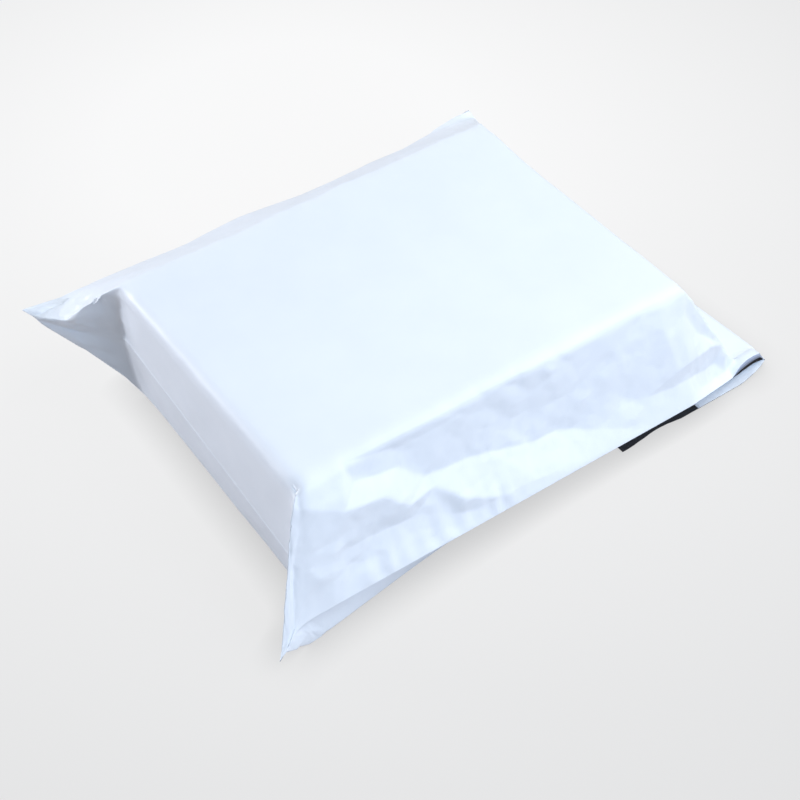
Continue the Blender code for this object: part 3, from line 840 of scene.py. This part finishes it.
@dataclass
class CrumpleZones:
    """How strongly each zone of the film is crumpled, as a multiple of its facets' relief.

    Rows run from the bottom fold to the mouth line, columns from the front weld to the back one.
    """

    along: tuple[float, ...] = (-0.06, -0.03, 0.0, 0.12, 0.55, 0.95, 1.0, 1.06, 1.40)
    across: tuple[float, ...] = (-0.08, 0.0, 0.25, 0.85, 1.05, 1.30, 3.20, 3.40, 3.90, 4.15)
    heights: tuple[tuple[float, ...], ...] = (
        (0.1, 0.3, 0.8, 0.6, 0.3, 0.3, 0.3, 0.5, 1.9, 1.5),
        (0.1, 0.5, 1.0, 0.8, 0.3, 0.3, 0.3, 0.6, 1.3, 0.8),
        (0.1, 0.5, 0.8, 0.5, 0.1, 0.1, 0.1, 0.5, 1.0, 0.1),
        (0.1, 0.6, 1.0, 0.6, 0.2, 0.1, 0.1, 0.6, 1.0, 0.1),
        (0.1, 0.4, 0.9, 0.6, 0.2, 0.1, 0.1, 0.6, 1.0, 0.1),
        (0.1, 0.4, 0.7, 0.5, 0.2, 0.1, 0.1, 0.6, 1.0, 0.1),
        (0.1, 0.3, 0.6, 0.4, 0.2, 0.1, 0.1, 0.6, 1.0, 0.1),
        (0.1, 0.4, 0.8, 0.8, 0.5, 0.5, 0.5, 0.8, 1.0, 0.1),
        (0.1, 0.4, 0.8, 0.8, 0.6, 0.6, 0.6, 0.8, 0.9, 0.1),
    )

    def strength(self, along: Array, across: Array) -> Array:
        """Strength of the crumple on a grid of shares.

        Args:
            along: Share along the pack of each row.
            across: Across the bag, in heights of the front slope.

        Returns:
            Strengths of shape (len(along), len(across)).
        """
        table = np.array(self.heights)
        rows = np.array([np.interp(across, self.across, line) for line in table])
        return np.array([np.interp(along, self.along, rows[:, column])
                         for column in range(len(across))]).T


@dataclass
class FilmRelief:
    """Creases, crumple and gathers of the film, as a rise along its normal.

    Its sizes are in metres, but the gathers' end is a share of the pack's length, and the mouth's
    fades are counted in rows of the grid.
    """

    shape: BagShape
    zones: CrumpleZones = field(default_factory=CrumpleZones)
    gather_pitch: float = 0.014
    gather_height: float = 0.0014
    gather_reach: float = 0.028
    gather_end: float = 0.6
    gather_eases: tuple[float, float] = (0.03, 0.05)
    gather_drifts: tuple[Triple, ...] = ((0.004, 41.0, 0.0), (0.003, 97.0, 1.0))
    gather_swell: Triple = (0.65, 0.35, 137.0)
    top_layers: tuple[FacetLayer, ...] = (
        FacetLayer(0.032, 0.0008, 5), FacetLayer(0.015, 0.0007, 11),
        FacetLayer(0.0065, 0.00034, 23))
    under_layers: tuple[FacetLayer, ...] = (
        FacetLayer(0.026, 0.0008, 31), FacetLayer(0.011, 0.0005, 37))
    mouth_layer: FacetLayer = FacetLayer(0.013, 0.0014, 43)
    wall_ease: float = 0.010
    fold_ease: float = 0.004
    rim_ease: float = 0.003
    mouth_row_pitch: float = 0.0018
    mouth_fade_in: float = 4.0
    mouth_rows_past: float = 2.0
    mouth_fade_out: float = 6.0
    mouth_rim_width: float = 0.006
    mouth_reach: float = 0.030

    def shares(self) -> tuple[Array, Array]:
        """Share along the pack, and share across the front slope, of the grid's lines."""
        across = self.shape.across
        return self.shape.pack_share(), (self.shape.v - across[1]) / (across[2] - across[1])

    def grid(self) -> tuple[Array, Array]:
        """Film coordinates of every grid point."""
        u, v = np.meshgrid(self.shape.u, self.shape.v, indexing="ij")
        return u, v

    def creases(self) -> Array:
        """The designed creases of the front slope."""
        along, across = self.shares()
        scale = (self.shape.sizes.pack_length, float(self.shape.across[2] - self.shape.across[1]))
        lines = sum(line.relief(along[:, None], across[None, :], scale) for line in FINE_CREASES)
        return lines + FRONT_FACETS.relief(along, across, scale)

    def gathers(self) -> Array:
        """Small pleats that the front weld draws up beside it.

        A triangle wave of the gathers' pitch, whose phase drifts and whose height swells along
        the weld, fades out with the distance from it.

        Returns:
            Rises of shape (len(u), len(v)).
        """
        u, first = self.shape.u, self.shape.along[1]
        drift = sum(height * np.sin(u * rate + turn) for height, rate, turn in self.gather_drifts)
        wave = 1.0 - 4.0 * np.abs((u + drift - first) / self.gather_pitch % 1.0 - 0.5)
        end = first + self.gather_end * self.shape.sizes.pack_length
        ease_in, ease_out = self.gather_eases
        run = np.clip((u - first) / ease_in, 0.0, 1.0) * np.clip((end - u) / ease_out, 0.0, 1.0)
        mean, change, rate = self.gather_swell
        size = mean + change * np.sin(u * rate)
        near = np.clip(1.0 - self.shape.v / self.gather_reach, 0.0, 1.0)
        return self.gather_height * (wave * run * size)[:, None] * near[None, :]

    def crumple(self) -> Array:
        """Facets at three scales, each as strong as its zone."""
        u, v = self.grid()
        strength = self.zones.strength(*self.shares())
        return strength * sum(layer.relief(u, v) for layer in self.top_layers)

    def under_crumple(self) -> Array:
        """Facets of the under sheet, where it hangs free at the bottom fold's end of the bag.

        Returns:
            Rises of shape (len(u), len(v)).
        """
        u, v = self.grid()
        strength = self.zones.strength(*self.shares())
        free = (smooth_step(1.0 - (u - self.shape.along[1]) / self.wall_ease)
                * smooth_step(u / self.fold_ease))
        return free * strength * sum(layer.relief(u, v) for layer in self.under_layers)

    def mouth_crumple(self, rows: int) -> Array:
        """Creases of the double film beside its front rim.

        Args:
            rows: How many rows the double film has.

        Returns:
            Rises of shape (rows, len(v)).
        """
        count = np.arange(rows)
        last = self.shape.cells.loop + self.mouth_rows_past
        run, v = np.meshgrid(count * self.mouth_row_pitch, self.shape.v, indexing="ij")
        before, after = count / self.mouth_fade_in, (last - count) / self.mouth_fade_out
        fade = smooth_step(np.minimum(before, after))
        near = smooth_step(1.0 - (self.shape.v - self.mouth_rim_width) / self.mouth_reach)
        return (fade[:, None] * near[None, :]) * self.mouth_layer.relief(run, v)

    def rise(self) -> Array:
        """The whole relief, let out to nothing at the film's rims."""
        u, v = self.shape.u, self.shape.v
        rim_u = smooth_step(np.minimum(u, u[-1] - u) / self.fold_ease)
        rim_v = smooth_step(np.minimum(v, v[-1] - v) / self.rim_ease)
        fine = (self.gathers() + self.crumple()) * rim_v[None, :]
        return (self.creases() + fine) * rim_u[:, None]


@dataclass
class FilmGrid:
    """A film of two faces on one grid: closed along its rims, and at its ends if they are apart.

    Where the faces stand apart at the front rim, the rim is an open pocket of two lines: where the
    film's edge is turned in, and how deep the pocket goes.
    """

    top: Array
    under: Array
    joined_start: bool
    pocket: Array | None = None

    def indices(self) -> tuple[Array, Array]:
        """Vertex numbers of the two faces, which share their first row if they are joined there.

        Returns:
            The numbers of the top face and of the under face, each of shape (rows, columns).
        """
        rows, columns = self.top.shape[:2]
        top = np.arange(rows * columns).reshape(rows, columns)
        under = top + rows * columns
        if self.joined_start:
            under = under - columns
            under[0] = top[0]
        return top, under

    def points(self) -> Array:
        """All vertices, in the order of their numbers.

        Returns:
            Points of shape (count, 3); the pocket's two lines come last.
        """
        under = self.under[1:] if self.joined_start else self.under
        parts = [self.top.reshape(-1, 3), under.reshape(-1, 3)]
        if self.pocket is not None:
            parts.append(self.pocket.reshape(-1, 3))
        return np.concatenate(parts)

    def faces(self) -> tuple[list[list[int]], Array]:
        """Faces that look outwards: both faces' cells, then the rims between them.

        Returns:
            The vertex numbers of each face, and the number of the film's part it belongs to.
        """
        top, under = self.indices()
        top_cells = np.stack((top[:-1, :-1], top[1:, :-1], top[1:, 1:], top[:-1, 1:]), axis=-1)
        top_cells = top_cells.reshape(-1, 4)
        under_cells = np.stack((under[:-1, :-1], under[:-1, 1:], under[1:, 1:], under[1:, :-1]),
                               axis=-1).reshape(-1, 4)
        lines = [top[:, 0], under[:, 0]]
        if self.pocket is not None:
            inner = np.arange(2 * len(top)).reshape(-1, 2) + int(under.max()) + 1
            inner[0] = top[0, 0]
            lines[1:1] = [inner[:, 0], inner[:, 1]]
        front = np.concatenate([np.stack((upper[:-1], lower[:-1], lower[1:], upper[1:]), axis=-1)
                                for lower, upper in zip(lines[1:], lines)])
        back = np.stack((top[1:, -1], under[1:, -1], under[:-1, -1], top[:-1, -1]), axis=-1)
        end = np.stack((top[-1, :-1], under[-1, :-1], under[-1, 1:], top[-1, 1:]), axis=-1)
        rims = [back, end]
        if not self.joined_start:
            rims.append(np.stack((top[0, 1:], under[0, 1:], under[0, :-1], top[0, :-1]), axis=-1))
        cells = np.concatenate([top_cells, front, under_cells] + rims)
        faces = [list(dict.fromkeys(cell)) for cell in cells.tolist()]
        marks = np.zeros(len(faces), dtype=np.int32)
        marks[:len(top_cells)] = FacePart.TOP.value
        lip = len(top) - 1 if self.pocket is not None else 0
        marks[len(top_cells):len(top_cells) + lip] = FacePart.LIP.value
        marks[len(top_cells) + lip:len(top_cells) + len(front)] = FacePart.FRONT_RIM.value
        return faces, marks

    def build(self, name: str, finishes: dict[FacePart, bpy.types.Material]) -> bpy.types.Object:
        """Makes the piece.

        Args:
            name: Name of the piece.
            finishes: Finish of each part of the film. Parts that aren't named have the first one.

        Returns:
            The new object, at the origin.
        """
        mesh = bpy.data.meshes.new(name)
        faces, marks = self.faces()
        mesh.from_pydata(self.points().tolist(), [], faces)
        slots = np.zeros(len(FacePart), dtype=np.int32)
        for place, (part, finish) in enumerate(finishes.items()):
            mesh.materials.append(finish)
            slots[part.value] = place
        mesh.polygons.foreach_set("material_index", slots[marks])
        mesh.polygons.foreach_set("use_smooth", np.ones(len(faces), dtype=bool))
        mesh.validate()
        mesh.update()
        piece = bpy.data.objects.new(name, mesh)
        bpy.context.scene.collection.objects.link(piece)
        return piece


@dataclass
class MailerBag:
    """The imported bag: its closed film with the folded mouth, and the glued flap."""

    white_film: bpy.types.Material
    # Black inner face of the flap, and painted shade on the front rim and in the mouth's pocket.
    black_film: bpy.types.Material
    # Painted shade: the darker grey-blue lip at the mouth's corner.
    lip_painted_shade: bpy.types.Material
    shape: BagShape = field(default_factory=BagShape)
    back_trim: float = 0.006
    gap: Profile = Profile((-0.016, -0.006, 0.004, 0.016, 0.024), (0.0, 0.6, 1.0, 0.8, 0.0))
    gap_height: float = 0.0094
    gap_reach: float = 0.034
    loop_path: float = 0.060
    lip_drop: float = 0.36
    lip_reach: float = 0.0014
    pocket_drop: float = 0.5
    pocket_depth: float = 0.014
    pocket_least_depth: float = 0.0001
    shared_reach: float = 0.022

    def __post_init__(self) -> None:
        """Works out both sheets and the mouth film. Beside the welds both sheets crumple alike."""
        v, relief = self.shape.v, FilmRelief(self.shape)
        top, under = self.shape.sheet(Side.TOP), self.shape.sheet(Side.UNDER)
        raised = surface_normals(top) * relief.rise()[..., None]
        inset = np.minimum(v, v[-1] - v) - self.shape.sizes.weld_width
        shared = 1.0 - smooth_step(inset / self.shared_reach)
        loose = relief.under_crumple() * (1.0 - shared)[None, :]
        crumpled = surface_normals(under) * loose[..., None]
        self.top = top + raised
        self.under = under + crumpled + raised * shared[None, :, None]
        self.double, flap = self.shape.mouth_film(self.under)
        self.flap = flap[:, v < self.shape.across[4] - self.back_trim]
        creased = relief.mouth_crumple(len(self.double))
        self.double += surface_normals(self.double) * creased[..., None]

    def film_bag(self) -> bpy.types.Object:
        """The closed bag: both sheets, the loop at the mouth and the double film below the pack.

        Returns:
            The new piece.
        """
        half = self.shape.sizes.half_seam
        top = np.concatenate((self.top, self.double))
        under = np.concatenate((self.under, self.double))
        top = top + surface_normals(top) * half
        under = under - surface_normals(under) * half
        top[..., 2] = np.maximum(top[..., 2], 0.0)
        under[..., 2] = np.maximum(under[..., 2], 0.0)
        top[0] = (top[0] + under[0]) / 2
        gap = self.corner_gap(len(top))
        top[..., 2] += gap * np.clip(1.0 - self.shape.v / self.gap_reach, 0.0, 1.0)[None, :]
        pocket = self.corner_pocket(top, under, gap / gap.max())
        grid = FilmGrid(top, under, joined_start=True, pocket=pocket)
        # The lip's grey-blue is painted shade, and the black of the front rim and the pocket is
        # painted shade too.
        return grid.build("film_bag", {FacePart.OTHER: self.white_film, FacePart.LIP: self.lip_painted_shade,
                                       FacePart.FRONT_RIM: self.black_film})

    def corner_pocket(self, top: Array, under: Array, open_share: Array) -> Array:
        """The pocket's two lines: the lip that hangs from the top face, and the pocket's bottom.

        Args:
            top: The film's upper face.
            under: Its lower face.
            open_share: How open the corner is, from 0 to 1, for each row.

        Returns:
            Points of shape (rows, 2, 3).
        """
        lip = (top[:, 0] + (under[:, 0] - top[:, 0]) * self.lip_drop
               - open_share * spot(0.0, self.lip_reach, 0.0))
        between = top + (under - top) * self.pocket_drop
        depth = self.pocket_depth * open_share[:, 0] + self.pocket_least_depth
        bottom = np.array([[np.interp(deep, self.shape.v, row[:, axis]) for axis in range(3)]
                           for deep, row in zip(depth, between)])
        return np.stack((lip, bottom), axis=1)

    def corner_gap(self, rows: int) -> Array:
        """How far the top sheet is lifted off at the mouth's front corner.

        Args:
            rows: How many rows the bag's film has.

        Returns:
            The lift of each row, of shape (rows, 1).
        """
        before = self.shape.u - self.shape.u[-1]
        loop = np.linspace(0.0, self.loop_path, self.shape.cells.loop + 1)[1:]
        past = np.full(rows - len(before) - len(loop), self.loop_path)
        place = np.concatenate((before, loop, past))
        return self.gap.at(place)[:, None] * self.gap_height

    def glued_flap(self) -> bpy.types.Object:
        """The single film past the double one, glued below the bag. Its inner face is black.

        Returns:
            The new piece.
        """
        half = self.shape.sizes.half_seam / 2
        film = self.flap
        normals = surface_normals(film)
        outer = film + normals * half
        inner = film - normals * half
        outer[..., 2] = np.maximum(outer[..., 2], 0.0)
        inner[..., 2] = np.maximum(inner[..., 2], half)
        grid = FilmGrid(outer, inner, joined_start=False)
        return grid.build("flap", {FacePart.OTHER: self.black_film, FacePart.TOP: self.white_film})

    def build(self) -> list[bpy.types.Object]:
        """Makes both pieces."""
        return [self.film_bag(), self.glued_flap()]


@dataclass
class NodeBench:
    """Builds one node tree: each call adds a node and joins or sets its inputs."""

    tree: bpy.types.NodeTree

    def add(self, kind: str, settings: dict | None = None, **inputs: object) -> bpy.types.Node:
        """Adds a node.

        Args:
            kind: The node's type name.
            settings: Properties of the node itself.
            inputs: Inputs by name, with underscores for spaces; sockets are linked.

        Returns:
            The new node.
        """
        node = self.tree.nodes.new(kind)
        for name, value in (settings or {}).items():
            setattr(node, name, value)
        for name, value in inputs.items():
            self.put(node.inputs[name.replace("_", " ")], value)
        return node

    def put(self, socket: bpy.types.NodeSocket, value: object) -> None:
        """Links a socket to another one, or sets its value."""
        if isinstance(value, bpy.types.NodeSocket):
            self.tree.links.new(value, socket)
        else:
            socket.default_value = value

    def noise(self, place: bpy.types.NodeSocket, scale: float,
              detail: float) -> bpy.types.NodeSocket:
        """Noise from 0 to 1 at a place."""
        node = self.add("ShaderNodeTexNoise", Vector=place, Scale=scale, Detail=detail)
        return node.outputs["Fac"]

    def filled(self, node: bpy.types.Node, sockets: dict[int, object],
               output: int = 0) -> bpy.types.NodeSocket:
        """Fills a node's inputs by their numbers.

        Args:
            node: The node.
            sockets: What goes into each numbered input.
            output: Number of the output that is wanted.

        Returns:
            That output.
        """
        for place, value in sockets.items():
            self.put(node.inputs[place], value)
        return node.outputs[output]

    def blend(self, share: object, first: object, second: object) -> bpy.types.NodeSocket:
        """Mix of two colours."""
        node = self.add("ShaderNodeMix", {"data_type": "RGBA"})
        return self.filled(node, {0: share, 6: first, 7: second}, output=2)

    def ramp(self, value: object, taken: tuple[float, float],
             given: tuple[float, float]) -> bpy.types.NodeSocket:
        """A value moved from one range to another, held at its ends."""
        node = self.add("ShaderNodeMapRange")
        return self.filled(node, dict(enumerate((value, *taken, *given))))

    def math(self, operation: str, first: object, second: object) -> bpy.types.NodeSocket:
        """Result of one operation on two values."""
        node = self.add("ShaderNodeMath", {"operation": operation})
        return self.filled(node, {0: first, 1: second})

    def mix(self, share: object, first: object, second: object) -> bpy.types.NodeSocket:
        """Mix of two shaders."""
        node = self.add("ShaderNodeMixShader")
        return self.filled(node, {0: share, 1: first, 2: second})


@dataclass(frozen=True)
class FilmFinish:
    """Looks of one face of the film."""

    name: str
    colour: Colour
    cloud: Colour
    roughness: float
    specular: float
    bump: float
    cloud_scale: float = 22.0
    cloud_detail: float = 3.0
    cloud_range: tuple[float, float] = (0.35, 0.65)
    gloss_scale: float = 60.0
    gloss_detail: float = 2.0
    gloss_range: tuple[float, float] = (0.3, 0.7)
    gloss_change: float = 0.05
    wrinkle_scale: float = 140.0
    wrinkle_detail: float = 4.0
    wrinkle_roughness: float = 0.6
    wrinkle_height: float = 0.001

    def material(self) -> bpy.types.Material:
        """A new material with a soft cloud in its colour, and fine wrinkles as a bump.

        Returns:
            The material.
        """
        material = bpy.data.materials.new(self.name)
        material.use_nodes = True
        material.node_tree.nodes.clear()
        bench = NodeBench(material.node_tree)
        place = bench.add("ShaderNodeTexCoord").outputs["Object"]
        cloud = bench.ramp(bench.noise(place, self.cloud_scale, self.cloud_detail),
                           self.cloud_range, (0.0, 1.0))
        colour = bench.blend(cloud, self.colour, self.cloud)
        rough_range = (self.roughness - self.gloss_change, self.roughness + self.gloss_change)
        roughness = bench.ramp(bench.noise(place, self.gloss_scale, self.gloss_detail),
                               self.gloss_range, rough_range)
        wrinkles = bench.add("ShaderNodeTexNoise", Vector=place, Scale=self.wrinkle_scale,
                             Detail=self.wrinkle_detail, Roughness=self.wrinkle_roughness)
        bump = bench.add("ShaderNodeBump", Strength=self.bump, Distance=self.wrinkle_height,
                         Height=wrinkles.outputs["Fac"])
        shader = bench.add("ShaderNodeBsdfPrincipled", Base_Color=colour, Roughness=roughness,
                           Normal=bump.outputs["Normal"])
        shader.inputs["Specular IOR Level"].default_value = self.specular
        output = bench.add("ShaderNodeOutputMaterial")
        bench.put(output.inputs["Surface"], shader.outputs[0])
        return material


WHITE_FILM = FilmFinish("white_film", colour=(0.79, 0.857, 0.93, 1.0),
                        cloud=(0.81, 0.877, 0.95, 1.0), roughness=0.42, specular=0.34, bump=0.12)
# Painted shade: a darker grey-blue copy of the white film's colour for the lip turned in at the
# mouth's corner, where the white edge lies in shade.
LIP_PAINTED_SHADE = FilmFinish("lip_painted_shade", colour=(0.30, 0.36, 0.48, 1.0),
                      cloud=(0.34, 0.40, 0.52, 1.0), roughness=0.40, specular=0.40, bump=0.12)
# The film's own black inner face on the flap; on the film bag's front rim and in the pocket at the
# mouth's corner the same black is painted shade.
BLACK_FILM_AND_PAINTED_SHADE = FilmFinish("black_film", colour=(0.010, 0.011, 0.014, 1.0),
                        cloud=(0.016, 0.017, 0.021, 1.0), roughness=0.40, specular=0.5, bump=0.15)


@dataclass(frozen=True)
class Lamp:
    """A square area lamp that looks at the origin."""

    name: str
    place: Triple
    size: float
    power: float
    colour: Triple

    def build(self) -> None:
        """Adds the lamp to the scene."""
        light = bpy.data.lights.new(self.name, "AREA")
        light.size = self.size
        light.energy = self.power
        light.color = self.colour
        lamp = bpy.data.objects.new(self.name, light)
        lamp.location = self.place
        lamp.rotation_mode = "QUATERNION"
        lamp.rotation_quaternion = (-Vector(self.place)).to_track_quat("-Z", "Y")
        bpy.context.scene.collection.objects.link(lamp)


LAMPS = (
    Lamp("key", (0.90, -0.40, 1.58), 1.6, 25.9, (1.0, 0.99, 0.98)),
    Lamp("front fill", (0.20, -1.50, 0.85), 0.8, 13.0, (0.67, 0.79, 1.0)),
    Lamp("back fill", (-1.17, 1.52, 0.28), 0.8, 30.5, (0.92, 0.93, 1.0)),
    Lamp("left fill", (-1.55, 0.55, 0.26), 0.8, 2.0, (1.0, 0.92, 0.98)),
)


@dataclass
class Studio:
    """Floor, world, lamps and camera."""

    backdrop_colour: Colour = (0.86, 0.86, 0.86, 1.0)
    ambient_colour: Colour = (0.82, 0.89, 1.0, 1.0)
    ambient_strength: float = 0.33
    floor_bounce: Colour = (0.50, 0.45, 0.415, 1.0)
    floor_colour: Colour = (0.85, 0.85, 0.85, 1.0)
    floor_evenness: float = 0.92
    floor_centre: Triple = (0.10, 0.30, 0.0)
    floor_reach: float = 6.0
    floor_drop: float = 0.0002
    glow_radii: tuple[float, float] = (0.15, 0.70)
    glow_levels: tuple[float, float] = (0.955, 0.75)
    shadow_reach: float = 0.025
    shadow_samples: int = 16
    shadow_openness: tuple[float, float] = (0.3, 1.0)
    shadow_levels: tuple[float, float] = (0.72, 1.0)
    camera_azimuth: float = 35.0
    camera_elevation: float = 46.0
    camera_distance: float = 1.0
    lens: float = 65.0
    sensor_width: float = 36.0
    clip_start: float = 0.01

    def floor_finish(self) -> bpy.types.Material:
        """A pale floor: even and bright for the camera, and duller for the light it throws back.

        For the camera its level falls with the distance from its centre and in the narrow space
        beside the bag, and a small share of the lamps' own light and shade is added.

        Returns:
            The material.
        """
        material = bpy.data.materials.new("floor")
        material.use_nodes = True
        material.node_tree.nodes.clear()
        bench = NodeBench(material.node_tree)
        seen = bench.add("ShaderNodeLightPath").outputs["Is Camera Ray"]
        plain = bench.add("ShaderNodeBsdfDiffuse",
                          Color=bench.blend(seen, self.floor_bounce, self.floor_colour))
        away = bench.add("ShaderNodeVectorMath", {"operation": "DISTANCE"})
        bench.put(away.inputs[0], bench.add("ShaderNodeTexCoord").outputs["Object"])
        bench.put(away.inputs[1], self.floor_centre)
        near = bench.add("ShaderNodeAmbientOcclusion", {"samples": self.shadow_samples},
                         Distance=self.shadow_reach)
        glow = bench.ramp(away.outputs["Value"], self.glow_radii, self.glow_levels)
        shadow = bench.ramp(near.outputs["AO"], self.shadow_openness, self.shadow_levels)
        shown = bench.add("ShaderNodeEmission", Color=(1.0, 1.0, 1.0, 1.0),
                          Strength=bench.math("MULTIPLY", glow, shadow))
        share = bench.math("MULTIPLY", seen, self.floor_evenness)
        output = bench.add("ShaderNodeOutputMaterial")
        bench.put(output.inputs["Surface"], bench.mix(share, plain.outputs[0], shown.outputs[0]))
        return material

    def floor(self) -> bpy.types.Object:
        """A large flat floor just under the bag.

        Returns:
            The new object.
        """
        reach, z = self.floor_reach, -self.floor_drop
        corners = [(-reach, -reach, z), (reach, -reach, z), (reach, reach, z), (-reach, reach, z)]
        mesh = bpy.data.meshes.new("floor")
        mesh.from_pydata(corners, [], [(0, 1, 2, 3)])
        mesh.materials.append(self.floor_finish())
        floor = bpy.data.objects.new("floor", mesh)
        bpy.context.scene.collection.objects.link(floor)
        return floor

    def world(self) -> None:
        """Cool ambient light, and a plain pale background for the camera and for reflections."""
        world = bpy.data.worlds.new("studio")
        bpy.context.scene.world = world
        world.use_nodes = True
        world.node_tree.nodes.clear()
        bench = NodeBench(world.node_tree)
        path = bench.add("ShaderNodeLightPath").outputs
        seen = bench.math("MAXIMUM", path["Is Camera Ray"], path["Is Glossy Ray"])
        seen = bench.math("MAXIMUM", seen, path["Is Transmission Ray"])
        light = bench.add("ShaderNodeBackground", Color=self.ambient_colour,
                          Strength=self.ambient_strength)
        plain = bench.add("ShaderNodeBackground", Color=self.backdrop_colour, Strength=1.0)
        output = bench.add("ShaderNodeOutputWorld")
        bench.put(output.inputs["Surface"], bench.mix(seen, light.outputs[0], plain.outputs[0]))

    def camera(self) -> None:
        """The camera, from the front left and above, looking at the origin."""
        side, rise = math.radians(self.camera_azimuth), math.radians(self.camera_elevation)
        back = Vector((-math.sin(side) * math.cos(rise), -math.cos(side) * math.cos(rise),
                       math.sin(rise)))
        data = bpy.data.cameras.new("camera")
        data.lens = self.lens
        data.sensor_width = self.sensor_width
        data.clip_start = self.clip_start
        camera = bpy.data.objects.new("camera", data)
        camera.location = back * self.camera_distance
        camera.rotation_mode = "QUATERNION"
        camera.rotation_quaternion = (-back).to_track_quat("-Z", "Y")
        bpy.context.scene.collection.objects.link(camera)
        bpy.context.scene.camera = camera

    def build(self) -> None:
        """Sets up the studio."""
        self.floor()
        self.world()
        for lamp in LAMPS:
            lamp.build()
        self.camera()
        bpy.context.scene.view_settings.view_transform = "Standard"


def main() -> None:
    """Builds the bag and the studio, and logs each piece's faces."""
    bag = MailerBag(WHITE_FILM.material(), BLACK_FILM_AND_PAINTED_SHADE.material(), LIP_PAINTED_SHADE.material())
    film_bag, flap = bag.build()
    for piece, slot in ((film_bag, "white_film"), (flap, "black_film")):
        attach(piece, "root")
        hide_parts("mailer_bag")
        LOG.info("%s: %d faces, finish %s", piece.name, len(piece.data.polygons), slot)
    Studio().build()


if __name__ == "__main__":
    main()
